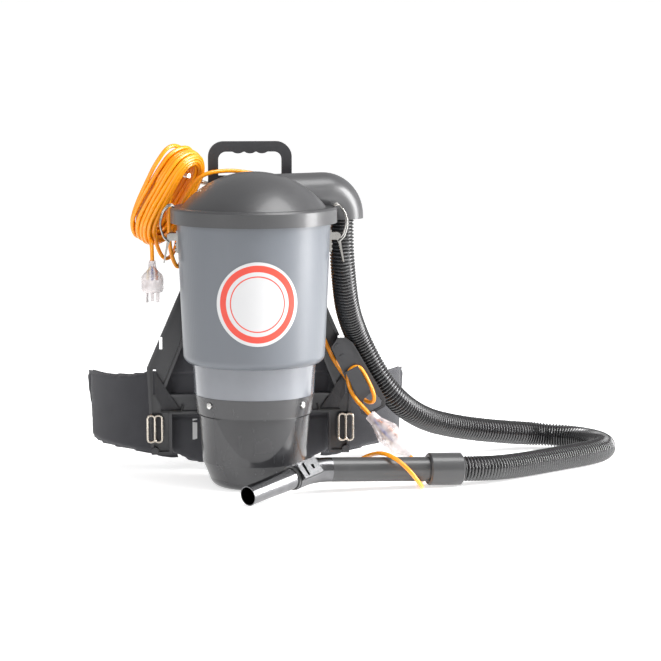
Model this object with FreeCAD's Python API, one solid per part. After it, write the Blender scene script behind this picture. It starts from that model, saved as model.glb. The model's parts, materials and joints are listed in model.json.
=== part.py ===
"""Backpack vacuum cleaner: canister, harness, hose with handpiece and a coiled extension lead.

Millimetres, +Z up. The origin is the centre of the canister's base on the floor. The front of the
canister faces -Y and the wearer's back is at +Y.
"""
import FreeCAD, Part
import math
import os

# Canister: tank, lid and inlet duct
TANK_TOP_R = 126.0
TANK_LOW_R = 116.0
TANK_WALL = 3.0
TANK_TOP_Z = 446.0
SHOULDER_Z = 218.0
SHOULDER_ROUND = 14.0
BAND_TOP_R = TANK_LOW_R - SHOULDER_ROUND - 1.0
BAND_LOW_R = BAND_TOP_R - 3.0
BAND_BOTTOM_Z = 153.0
TANK_FLOOR_T = 4.0
INTAKE_R = 42.0
BAG_LEDGE_DROP = 10.0
BAG_LEDGE_W = 4.0
LID_RIM_R = TANK_TOP_R + 10.0
LID_RIM_BOTTOM_Z = 434.0
LID_RIM_TOP_Z = 459.0
LID_WALL = 3.0
LID_SKIRT_GAP = 1.0
DOME_R = 150.0
DOME_TOP_Z = 516.0
LID_EDGE = 3.0
GASKET_H = 3.0
GASKET_W = 8.0
DUCT_R = 36.0
DUCT_BEND_R = 37.0
DUCT_ANGLE = math.radians(23.3)
DUCT_MOUTH_REACH = TANK_TOP_R + 36.0
DUCT_MOUTH_Z = 434.0
DUCT_STUB_H = 4.0
DUCT_START_REACH = 30.0
BADGE_R = 68.0
BADGE_Z = 312.0
BADGE_T = 0.5

# Motor housing and what it holds
COLLAR_R = BAND_LOW_R + 1.0
COLLAR_LOW_R = COLLAR_R - 5.0
COLLAR_Z = 122.0
BOWL_R = COLLAR_LOW_R - 3.0
BOWL_MID_R = 85.0
BOWL_MID_Z = 42.0
BOWL_FOOT_R = 66.0
PANEL_LOW_Z = 11.0
HOUSING_WALL = 3.0
GROOVE_DEPTH = 2.5
GROOVE_H = 3.0
SPIGOT_H = 7.0
FRONT_PANEL_Y = -83.0
FRONT_PANEL_R = 118.0
FRONT_PANEL_LEAN = 2.2
SCREW_AZIMUTHS = (-39.5, -140.5)
SCREW_Z = 141.0
SCREW_HEAD_R = 5.2
VENT_COUNT = 7
VENT_W = 5.0
VENT_H = 44.0
VENT_Z = 52.0
VENT_STEP = 9.0
SWITCH_LOW_Z = 62.0
SWITCH_TOP_Z = 90.0
SWITCH_W = 18.0
SWITCH_RIM = 2.5
SWITCH_PIN_R = 1.2
ROCKER_DISH = 8.0
ROCKER_REST = 5.0
FAN_CASE_R = 71.0
FAN_CASE_H = 40.0
FAN_CASE_WALL = 1.5
FAN_CASE_TOP_Z = 196.0
MOUNT_RING_R = 62.0
STATOR_R = 46.0
STATOR_H = 66.0
ARMATURE_R = 27.0
SHAFT_R = 4.0
IMPELLER_R = 60.0
IMPELLER_H = 16.0
RUN_GAP = 0.06
FIT_GAP = 0.3

# Latches
LATCH_W = 22.0
LATCH_PLATE_T = 2.0
LATCH_PLATE_H = 42.0
LATCH_PIVOT_Z = 412.0
LATCH_PIVOT_OUT = 13.0
LATCH_PIN_R = 1.6
CLAW_WIRE_R = 1.5
CLAW_PIVOT_DROP = 9.0
CLAW_BULGE = 16.0
LEVER_TAIL = 44.0
LEVER_KICK = 10.0

# Harness frame and what is bolted to it
FRAME_FRONT_Y = TANK_TOP_R + 13.0
FRAME_RIB = 12.0
FRAME_SKIN = 5.0
FRAME_RIB_W = 5.0
FRAME_TOP_Z = 500.0
FRAME_HEAD_W = 132.0
FRAME_HEAD_Z = 458.0
FRAME_NECK_X = 52.0
FRAME_RAIL_X = 118.0
FRAME_RAIL_Z = 306.0
FRAME_KNEE_X = 175.0
FRAME_KNEE_Z = 175.0
FRAME_LEG_X = 168.0
FRAME_LEG_Z = 27.0
FRAME_LEG_W = 35.0
CROSSBAR_Z = 96.0
CROSSBAR_H = 34.0
WINDOW_LOW_X = 148.0
WINDOW_TOP_X = 28.0
WINDOW_TOP_Z = 425.0
FOOT_POST_W = 90.0
SLOT_W = 5.0
SADDLE_W = 70.0
SADDLE_H = 26.0
SADDLE_UPPER_Z = 378.0
SADDLE_LOWER_Z = 98.8
BOLT_R = 3.0
BOLT_HEAD_R = 6.0
BOLT_HEAD_H = 3.5
HANDLE_W = 140.0
HANDLE_T = 16.0
HANDLE_FOOT_Z = 462.0
HANDLE_TOP_Z = 558.0
HANDLE_BAR = 17.0
HANDLE_CORNER_R = 26.0
GRIP_BUMPS = 4
GRIP_BUMP_R = 16.0
GRIP_BUMP_RISE = 3.0

# Padding and webbing
SOFT_GAP = 0.3
PAD_T = 20.0
PAD_TOP_Z = 470.0
PAD_LOW_Z = 3.0
WING_T = 13.0
WING_END_X = 276.0
WING_END_Y = 300.0
WING_END_LOW_Z = 27.0
WING_END_TOP_Z = 151.0
WING_ROOT_X = 118.0
WING_ROOT_LOW_Z = 10.0
WING_ROOT_TOP_Z = 172.0
STRAP_W = 50.0
STRAP_T = 12.0
STRAP_X = 42.0
STRAP_OUT = 84.0
STRAP_TOP_Z = 455.0
STRAP_LOW_Z = 205.0
WEB_W = 38.0
WEB_T = 2.0
RING_X = 162.0
RING_Z = 72.0
RING_W = 28.0
RING_H = 49.0
RING_WIRE_R = 1.9
RING_CORNER = 4.6
BUCKLE_W = 62.0
BUCKLE_H = 46.0
BUCKLE_T = 12.0
WAIST_WEB_Y = 318.0
WAIST_WEB_Z = 84.0

# Lead retainer and lead hook on the frame
RETAINER_Y = 108.0
RETAINER_T = 4.0
RETAINER_RIM = 2.0
TONGUE_W = 24.0
TONGUE_L = 44.0
TONGUE_RISE = 10.0
TONGUE_T = 4.0
TONGUE_LEAN = 28.0
HOOK_ROD_R = 4.0
HOOK_ARM_Z = 484.0

# Hose and handpiece
HOSE_R = 21.0
HOSE_BORE_R = 17.5
CUFF_R = 26.5
CUFF_L = 58.0
CUFF_START = FreeCAD.Vector(338.0, -36.0, 27.5)
GRIP_AXIS = FreeCAD.Vector(-247.0, -50.0, 11.0).normalize()
TIP_MOUTH = FreeCAD.Vector(-20.0, -195.0, 17.3)
GRIP_TURN = CUFF_START + FreeCAD.Vector(-247.0, -50.0, 11.0)
GRIP_R = 20.0
GRIP_WALL = 2.5
GRIP_BEND_R = 90.0
GRIP_INTO_CUFF = 40.0
GRIP_SLEEVE_END = 223.0
BEND_SPIGOT = 20.0
TIP_L = 107.0
TIP_BASE_R = 17.4
TIP_END_R = 16.0
TIP_END_L = 42.0
TIP_WALL = 1.4
TIP_INSERT = 20.0
COLLAR_RING_L = 5.0
REGULATOR_TRAVEL = 12.0
REGULATOR_L = 26.0
REGULATOR_W = 22.0
REGULATOR_T = 2.4

# Cords
LEAD_R = 3.5
COIL_CENTRE = FreeCAD.Vector(-139.0, 100.5, 467.0)
COIL_AXIS = FreeCAD.Vector(0.49, 0.03, 0.871).normalize()
COIL_FACE = FreeCAD.Vector(0.612, -0.723, -0.319).normalize()
COIL_HALF_RUN = 47.0
COIL_TURN_R = 28.0
COIL_BUNDLE_R = 24.0
PLUG_TOP = FreeCAD.Vector(-165.0, 57.0, 366.0)
PLUG_R = 18.5
PLUG_H = 52.0
SOCKET_TOP = FreeCAD.Vector(198.0, 75.0, 101.0)
SOCKET_END = FreeCAD.Vector(262.0, 40.0, 36.0)
SOCKET_R = 20.0
GLAND_AZIMUTH = 14.0
GLAND_Z = 32.0
GLAND_L = 30.0

HOSE_ROUTE = [
    (148.8, 64.1, 446.0), (148.8, 64.1, 402.0), (150.2, 67.0, 362.0), (156.0, 84.0, 311.0),
    (163.0, 106.0, 273.0), (178.0, 131.0, 233.0), (197.0, 140.0, 194.0), (219.0, 144.0, 154.0),
    (247.0, 154.0, 117.5), (278.0, 178.0, 90.0), (313.0, 207.0, 69.0), (353.0, 238.0, 55.0),
    (397.0, 262.0, 44.0), (462.0, 290.0, 33.0), (522.0, 316.0, 25.0), (589.0, 291.5, 21.5),
    (624.0, 229.0, 21.0), (610.0, 159.0, 21.0), (519.0, 86.0, 21.0), (436.0, 17.0, 21.5),
    (377.2, -28.1, 25.8), (326.24, -38.38, 28.02),
]

LEAD_ROUTE = [
    (198.0, 75.0, 101.0), (188.0, 84.0, 112.0), (176.5, 96.0, 123.0), (167.0, 102.0, 139.0),
    (162.0, 102.0, 157.0), (163.3, 102.0, 170.9), (172.0, 102.0, 179.2), (182.9, 102.0, 178.7),
    (190.5, 102.0, 168.0), (200.0, 102.0, 149.0), (207.5, 102.0, 131.0), (207.0, 109.0, 117.0),
    (196.0, 120.0, 116.0), (179.0, 125.0, 134.0), (162.0, 126.0, 157.0), (142.0, 126.0, 185.0),
    (126.0, 127.0, 219.0), (112.0, 129.0, 257.0), (101.0, 130.0, 300.0), (95.0, 131.0, 348.0),
    (90.0, 128.0, 398.0), (83.0, 120.0, 446.0), (60.0, 112.5, 483.0), (22.0, 108.0, 503.0),
    (-25.0, 105.5, 511.0), (-50.0, 98.0, 510.5), (-72.0, 91.5, 508.0), (-91.0, 92.0, 497.0),
    (-107.0, 93.0, 473.0), (-118.0, 101.0, 454.0), (-126.0, 112.0, 440.0),
]

TAIL_ROUTE = [
    (-168.0, 92.0, 412.0), (-168.0, 76.0, 399.0), (-165.0, 57.0, 390.0), (-165.0, 57.0, 366.0),
]

FLEX_ROUTE = [
    (117.0, 29.0, 32.0), (136.0, 33.0, 28.0), (155.0, 20.0, 28.0), (171.0, -5.0, 38.0),
    (188.0, -34.0, 53.0), (208.0, -63.0, 61.0), (230.0, -88.0, 52.0), (249.0, -99.0, 34.0),
    (263.0, -93.0, 15.0), (270.0, -76.0, 4.5), (269.0, -52.0, 3.6), (269.0, -29.0, 3.6),
    (277.0, -8.0, 3.7), (283.0, 13.0, 7.0), (279.0, 30.7, 18.7), (262.0, 40.0, 36.0),
]


def vec(x, y, z):
    """One point or direction."""
    return FreeCAD.Vector(x, y, z)


def outline(start, *steps):
    """A closed wire from a start point: a step is a point, or (middle, end) for an arc."""
    edges = []
    here = start
    for step in steps:
        if isinstance(step, tuple):
            edges.append(Part.Arc(here, step[0], step[1]).toShape())
            here = step[1]
        elif here.distanceToPoint(step) > 1e-6:
            edges.append(Part.LineSegment(here, step).toShape())
            here = step
    if here.distanceToPoint(start) > 1e-6:
        edges.append(Part.LineSegment(here, start).toShape())
    return Part.Wire(edges)


def prism(points, depth):
    """A solid from a flat list of points and steps, pushed along a vector."""
    return Part.Face(outline(points[0], *points[1:])).extrude(depth)


def turned(points):
    """A solid of revolution about Z from (radius, height) points; a pair of points is an arc."""
    steps = []
    for point in points:
        if isinstance(point[0], tuple):
            steps.append((vec(point[0][0], 0, point[0][1]), vec(point[1][0], 0, point[1][1])))
        else:
            steps.append(vec(point[0], 0, point[1]))
    face = Part.Face(outline(steps[0], *steps[1:]))
    return face.revolve(vec(0, 0, 0), vec(0, 0, 1), 360)


def rod(start, end, radius):
    """A round bar between two points."""
    axis = end - start
    return Part.makeCylinder(radius, axis.Length, start, axis)


def ring(inner, outer, low, high):
    """A flat-ended ring about Z."""
    return Part.makeCylinder(outer, high - low, vec(0, 0, low)).cut(
        Part.makeCylinder(inner, high - low, vec(0, 0, low)))


def block(low, high):
    """A box between two corners."""
    size = high - low
    return Part.makeBox(size.x, size.y, size.z, low)


def mirrored(shape):
    """The same piece on the other side of the YZ plane."""
    return shape.mirror(vec(0, 0, 0), vec(1, 0, 0))


def about_z(shape, degrees):
    """A copy turned about the canister's axis."""
    return shape.rotated(vec(0, 0, 0), vec(0, 0, 1), degrees)


def save(node, *solids):
    """Write one node's solids to its own file."""
    shape = solids[0] if len(solids) == 1 else Part.makeCompound(list(solids))
    shape.exportStep("parts/" + node + ".step")


def rounded_path(points, name=None):
    """Straight runs joined by tangent arcs, each as large as its two runs allow."""
    edges = []
    radii = []
    start = points[0]
    for before, corner, after in zip(points, points[1:], points[2:]):
        arriving = (corner - before).normalize()
        leaving = (after - corner).normalize()
        half_turn = arriving.getAngle(leaving) / 2
        reach = 0.45 * min(before.distanceToPoint(corner), corner.distanceToPoint(after))
        radius = reach / math.tan(half_turn)
        inward = (leaving - arriving).normalize()
        centre = corner + inward * (radius / math.cos(half_turn))
        first = corner - arriving * reach
        last = corner + leaving * reach
        edges.append(Part.LineSegment(start, first).toShape())
        edges.append(Part.Arc(first, centre - inward * radius, last).toShape())
        radii.append(radius)
        start = last
    edges.append(Part.LineSegment(start, points[-1]).toShape())
    if name:
        print(name, "arc radii, mm:", " ".join("%.0f" % radius for radius in radii))
    return Part.Wire(edges)


def tube_along(path, radius):
    """A solid round tube along a path of lines and arcs."""
    first = path.Edges[0]
    start = first.valueAt(first.FirstParameter)
    heading = first.tangentAt(first.FirstParameter)
    section = Part.Wire([Part.Circle(start, heading, radius).toShape()])
    return path.makePipeShell([section], True, True)


def cord(route, radius, name, bore=0.0):
    """A cord's solid along its route, with its radii and its volume against section times length."""
    path = rounded_path([vec(*point) for point in route], name)
    solid = tube_along(path, radius)
    section = math.pi * radius ** 2
    print(name, "length %.0f mm, volume over section times length %.4f"
          % (path.Length, solid.Volume / (section * path.Length)))
    if bore:
        solid = solid.cut(tube_along(path, bore))
    return solid


def dome_height(radius, drop=0.0):
    """Height of the lid's round dome at a radius, lowered square to its surface by drop."""
    return DOME_TOP_Z - DOME_R + math.sqrt((DOME_R - drop) ** 2 - radius ** 2)


def dome_arc(foot_z, drop=0.0):
    """The dome's profile down to a height: its foot, a point half way up, and its tip."""
    foot_r = math.sqrt((DOME_R - drop) ** 2 - (foot_z - DOME_TOP_Z + DOME_R) ** 2)
    half_r = foot_r / 2
    return (foot_r, foot_z), (half_r, dome_height(half_r, drop)), (0.0, DOME_TOP_Z - drop)


def tank_radius(z):
    """Outer radius of the tapered tank wall at a height above the shoulder."""
    share = (z - SHOULDER_Z) / (TANK_TOP_Z - SHOULDER_Z)
    return TANK_LOW_R + share * (TANK_TOP_R - TANK_LOW_R)


def make_tank():
    """The grey tank: tapered body, rounded shoulder, narrower band below and a floor with an intake."""
    bend = SHOULDER_ROUND * (1 - math.sqrt(0.5))
    low = SHOULDER_Z - SHOULDER_ROUND
    wall = TANK_WALL
    ledge_z = TANK_TOP_Z - BAG_LEDGE_DROP
    shell = turned([
        (TANK_TOP_R, TANK_TOP_Z), (TANK_LOW_R, SHOULDER_Z),
        ((TANK_LOW_R - bend, low + bend), (TANK_LOW_R - SHOULDER_ROUND, low)),
        (BAND_TOP_R, low), (BAND_LOW_R, BAND_BOTTOM_Z),
        (BAND_LOW_R - wall, BAND_BOTTOM_Z), (BAND_TOP_R - wall, low),
        (INTAKE_R, low), (INTAKE_R, low + TANK_FLOOR_T),
        (TANK_LOW_R - SHOULDER_ROUND, low + TANK_FLOOR_T),
        (TANK_LOW_R - wall, SHOULDER_Z), (tank_radius(ledge_z - BAG_LEDGE_W) - wall, ledge_z - BAG_LEDGE_W),
        (tank_radius(ledge_z) - wall - BAG_LEDGE_W, ledge_z), (tank_radius(ledge_z) - wall, ledge_z),
        (TANK_TOP_R - wall, TANK_TOP_Z),
    ])
    save("tank", shell)


def duct_solid(radius):
    """The inlet duct's outer or inner form: out from the dome, round a bend and down to its mouth."""
    bend_x = DUCT_MOUTH_REACH - DUCT_BEND_R
    bend_z = DUCT_MOUTH_Z + DUCT_STUB_H
    duct_z = bend_z + DUCT_BEND_R
    straight = rod(vec(DUCT_START_REACH, 0, duct_z), vec(bend_x, 0, duct_z), radius)
    mouth = Part.Circle(vec(DUCT_MOUTH_REACH, 0, bend_z), vec(0, 0, 1), radius)
    section = Part.Face(Part.Wire([mouth.toShape()]))
    bend = section.revolve(vec(bend_x, 0, bend_z), vec(0, -1, 0), 90)
    stub = rod(vec(DUCT_MOUTH_REACH, 0, DUCT_MOUTH_Z), vec(DUCT_MOUTH_REACH, 0, bend_z), radius)
    whole = straight.fuse([bend, stub]).removeSplitter()
    return about_z(whole, math.degrees(DUCT_ANGLE))


def make_lid():
    """The lid: rim, round dome, and the inlet duct that opens into it."""
    foot, middle, top = dome_arc(LID_RIM_TOP_Z)
    seat_z = TANK_TOP_Z + GASKET_H
    inner_foot = TANK_TOP_R - TANK_WALL - GASKET_W
    outer = turned([
        (0.0, seat_z), (TANK_TOP_R, seat_z), (LID_RIM_R, seat_z), (LID_RIM_R, LID_RIM_TOP_Z - LID_EDGE),
        (LID_RIM_R - LID_EDGE, LID_RIM_TOP_Z), foot, (middle, top),
    ])
    skirt = ring(TANK_TOP_R + LID_SKIRT_GAP, LID_RIM_R, LID_RIM_BOTTOM_Z, seat_z)
    foot, middle, top = dome_arc(LID_RIM_TOP_Z - LID_WALL, LID_WALL)
    hollow = turned([(0.0, seat_z), (inner_foot, seat_z), (inner_foot, foot[1]), foot, (middle, top)])
    duct_inside = duct_solid(DUCT_R - LID_WALL)
    lid = outer.fuse([skirt, duct_solid(DUCT_R)]).cut([hollow, duct_inside])
    below_h = seat_z - LID_RIM_BOTTOM_Z
    below = Part.makeCylinder(TANK_TOP_R + LID_SKIRT_GAP, below_h, vec(0, 0, LID_RIM_BOTTOM_Z))
    save("lid_shell", lid.cut(below))
    save("lid_gasket", ring(TANK_TOP_R - TANK_WALL - GASKET_W / 2, TANK_TOP_R, TANK_TOP_Z, seat_z))


def make_filter():
    """The cloth filter bag and the ring that hangs it on the ledge inside the tank."""
    ledge_z = TANK_TOP_Z - BAG_LEDGE_DROP
    out = tank_radius(ledge_z) - TANK_WALL - FIT_GAP
    inside = out - BAG_LEDGE_W - 6
    save("bag_ring", ring(inside, out, ledge_z, ledge_z + 3))
    floor = SHOULDER_Z
    bag_r = TANK_LOW_R - TANK_WALL - 12
    bag = turned([
        (0.0, floor), (bag_r, floor), (inside, ledge_z), (inside, ledge_z + 3),
        (inside - 1.5, ledge_z + 3), (bag_r - 1.5, floor + 1.5), (0.0, floor + 1.5),
    ])
    save("filter_bag", bag)


def housing_form():
    """The motor housing's outer form as one solid, with the spigot that enters the tank's band."""
    spigot_r = BAND_LOW_R - TANK_WALL - FIT_GAP
    groove_r = BOWL_R - GROOVE_DEPTH
    return turned([
        (0.0, 0.0), (BOWL_FOOT_R - 8, 0.0), ((BOWL_FOOT_R + 2, 5.0), (BOWL_FOOT_R + 8, 16.0)),
        (BOWL_MID_R, BOWL_MID_Z), (BOWL_R, COLLAR_Z - GROOVE_H), (groove_r, COLLAR_Z - GROOVE_H),
        (groove_r, COLLAR_Z), (COLLAR_LOW_R, COLLAR_Z), (COLLAR_R, BAND_BOTTOM_Z),
        (spigot_r, BAND_BOTTOM_Z), (spigot_r, BAND_BOTTOM_Z + SPIGOT_H), (0.0, BAND_BOTTOM_Z + SPIGOT_H),
    ])


def housing_hollow():
    """The space inside the motor housing, open at the top."""
    wall = HOUSING_WALL
    spigot_r = BAND_LOW_R - TANK_WALL - FIT_GAP - wall
    groove_r = BOWL_R - GROOVE_DEPTH - wall
    return turned([
        (0.0, wall), (BOWL_FOOT_R - 8 - wall, wall),
        ((BOWL_FOOT_R + 2 - wall, 5 + wall), (BOWL_FOOT_R + 8 - wall, 16 + wall)),
        (BOWL_MID_R - wall, BOWL_MID_Z), (groove_r, COLLAR_Z - GROOVE_H), (groove_r, COLLAR_Z + wall),
        (spigot_r, BAND_BOTTOM_Z - wall), (spigot_r, BAND_BOTTOM_Z + SPIGOT_H),
        (0.0, BAND_BOTTOM_Z + SPIGOT_H),
    ])


def front_panel_cut(inset):
    """What is cut off in front of the bowl, so that a rounder panel is left with a crease at each side."""
    top_z = COLLAR_Z - GROOVE_H
    front = block(vec(-COLLAR_R, -COLLAR_R * 1.5, PANEL_LOW_Z), vec(COLLAR_R, -BOWL_R / 3, top_z))
    foot = vec(0, FRONT_PANEL_Y + FRONT_PANEL_R, top_z)
    core = Part.makeCylinder(FRONT_PANEL_R - inset, 2 * top_z, foot - vec(0, 0, top_z * 1.5))
    return front.cut(core.rotated(foot, vec(1, 0, 0), -FRONT_PANEL_LEAN))


def make_housing():
    """The black motor housing with its collar, groove, flat front panel and rear vents."""
    body = housing_form().cut(front_panel_cut(0.0))
    hollow = housing_hollow().cut(front_panel_cut(HOUSING_WALL))
    shell = body.cut(hollow)
    vents = []
    for index in range(VENT_COUNT):
        azimuth = (index - (VENT_COUNT - 1) / 2) * VENT_STEP
        slot = block(vec(-VENT_W / 2, BOWL_MID_R - 12, VENT_Z), vec(VENT_W / 2, COLLAR_R, VENT_Z + VENT_H))
        vents.append(about_z(slot, azimuth))
    gland_bore = rod(vec(BOWL_MID_R - 14, 0, GLAND_Z), vec(COLLAR_R, 0, GLAND_Z), LEAD_R + 2)
    gland_bore = about_z(gland_bore, GLAND_AZIMUTH)
    switch_hole = switch_place(block(vec(BOWL_MID_R - 14, -SWITCH_W / 2, SWITCH_LOW_Z),
                                     vec(COLLAR_R, SWITCH_W / 2, SWITCH_TOP_Z)))
    shell = shell.cut(vents + [gland_bore, switch_hole])
    screws = []
    for azimuth in SCREW_AZIMUTHS:
        seat = COLLAR_R - 2.2
        bore = about_z(rod(vec(seat - 16, 0, SCREW_Z), vec(seat + 6, 0, SCREW_Z), 1.9), azimuth)
        shell = shell.cut(bore)
        shank = rod(vec(seat - 8, 0, SCREW_Z), vec(seat + 0.1, 0, SCREW_Z), 1.9)
        head = rod(vec(seat + 0.1, 0, SCREW_Z), vec(seat + 3, 0, SCREW_Z), SCREW_HEAD_R)
        room = rod(vec(seat + 0.1, 0, SCREW_Z), vec(seat + 8, 0, SCREW_Z), SCREW_HEAD_R)
        shell = shell.cut(about_z(room, azimuth))
        screws.append(about_z(shank.fuse(head), azimuth))
    save("motor_housing", shell)
    save("housing_screws", *screws)


def switch_place(shape):
    """Turn a piece made on +X to the switch's place at the rear left of the housing."""
    return about_z(shape, 128.0)


def make_switch():
    """The on and off rocker on its pin in a bezel, sunk in the housing wall behind the canister."""
    wall_x = BOWL_MID_R + 4
    middle = (SWITCH_LOW_Z + SWITCH_TOP_Z) / 2
    half_w = SWITCH_W / 2
    rim = SWITCH_RIM
    bezel = block(vec(wall_x - 12, -half_w, SWITCH_LOW_Z), vec(wall_x + 4, half_w, SWITCH_TOP_Z))
    bezel = bezel.cut(block(vec(wall_x - 10, -half_w + rim, SWITCH_LOW_Z + rim),
                            vec(wall_x + 5, half_w - rim, SWITCH_TOP_Z - rim)))
    pin = rod(vec(wall_x, -half_w + 1, middle), vec(wall_x, half_w - 1, middle), SWITCH_PIN_R)
    inner = half_w - rim - FIT_GAP
    reach = (SWITCH_TOP_Z - SWITCH_LOW_Z) / 2 - rim - 2 * FIT_GAP
    rocker = rod(vec(wall_x, -inner, middle), vec(wall_x, inner, middle), reach)
    rise = math.tan(math.radians(ROCKER_DISH)) * reach
    rocker = rocker.common(prism([
        vec(wall_x - 3, -inner, middle - reach), vec(wall_x + 2.5 + rise, -inner, middle - reach),
        vec(wall_x + 2.5, -inner, middle), vec(wall_x + 2.5 + rise, -inner, middle + reach),
        vec(wall_x - 3, -inner, middle + reach),
    ], vec(0, 2 * inner, 0)))
    bore_r = SWITCH_PIN_R + RUN_GAP
    rocker = rocker.cut(rod(vec(wall_x, -half_w, middle), vec(wall_x, half_w, middle), bore_r))
    rocker = rocker.rotated(vec(wall_x, 0, middle), vec(0, 1, 0), ROCKER_REST)
    save("switch_bezel", switch_place(bezel.fuse(pin)))
    save("switch_rocker", switch_place(rocker))


def make_motor():
    """The two-stage fan motor on its rubber mounts, with its turning parts."""
    top = FAN_CASE_TOP_Z
    low = top - FAN_CASE_H
    floor_z = SHOULDER_Z - SHOULDER_ROUND
    case = turned([
        (MOUNT_RING_R - 12, top), (FAN_CASE_R, top), (FAN_CASE_R, low), (SHAFT_R + 5, low),
        (SHAFT_R + 5, low + FAN_CASE_WALL), (FAN_CASE_R - FAN_CASE_WALL, low + FAN_CASE_WALL),
        (FAN_CASE_R - FAN_CASE_WALL, top - FAN_CASE_WALL), (MOUNT_RING_R - 12, top - FAN_CASE_WALL),
    ])
    bearing = ring(SHAFT_R + RUN_GAP, SHAFT_R + 5, low - 4, low + 3)
    save("fan_case", case.fuse(bearing))
    stator_top = low - 4
    stator = ring(ARMATURE_R + 1, STATOR_R, stator_top - STATOR_H, stator_top)
    cap = ring(SHAFT_R + RUN_GAP, STATOR_R, stator_top - STATOR_H - 4, stator_top - STATOR_H)
    bridge = ring(SHAFT_R + 5, STATOR_R, stator_top, low)
    save("motor_stator", stator.fuse([cap, bridge]))
    foot_top = stator_top - STATOR_H - 4
    save("motor_mounts", ring(MOUNT_RING_R - 8, MOUNT_RING_R, top, floor_z),
         ring(STATOR_R - 12, STATOR_R - 6, HOUSING_WALL, foot_top))
    shaft = rod(vec(0, 0, foot_top), vec(0, 0, top - 6), SHAFT_R)
    armature = ring(SHAFT_R, ARMATURE_R, stator_top - STATOR_H + 6, stator_top - 6)
    save("motor_shaft", shaft)
    save("armature", armature)
    disc_z = low + 8
    impeller = ring(SHAFT_R, IMPELLER_R, disc_z, disc_z + 2)
    blades = []
    for index in range(8):
        blade = block(vec(12, -1, disc_z + 2), vec(IMPELLER_R - 2, 1, disc_z + IMPELLER_H))
        blades.append(about_z(blade, index * 45.0))
    hub = ring(SHAFT_R, 12.5, disc_z, disc_z + IMPELLER_H)
    save("impeller", impeller.fuse(blades + [hub]))


def make_badge():
    """The bare round badge on the front of the tank, wrapped to its wall."""
    height = 2 * BADGE_R
    outer = tank_radius(BADGE_Z) + BADGE_T
    low = BADGE_Z - BADGE_R
    low_r = tank_radius(low) + SOFT_GAP
    top_r = tank_radius(low + height) + SOFT_GAP
    skin = Part.makeCone(low_r + BADGE_T, top_r + BADGE_T, height, vec(0, 0, low)).cut(
        Part.makeCone(low_r, top_r, height, vec(0, 0, low)))
    half_width = outer * math.sin(BADGE_R / outer)
    oval = Part.Ellipse(vec(0, 0, 0), BADGE_R, half_width).toShape()
    oval.Placement = FreeCAD.Placement(
        vec(0, -outer - 5, BADGE_Z), FreeCAD.Rotation(vec(0, 0, 1), vec(-1, 0, 0), vec(0, 1, 0), "XZY"))
    disc = Part.Face(Part.Wire([oval])).extrude(vec(0, outer / 2, 0))
    save("front_badge", skin.common(disc))


def wire_loop(points, radius):
    """A bent wire through a list of points, with rounded corners."""
    return tube_along(rounded_path(points), radius)


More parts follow.
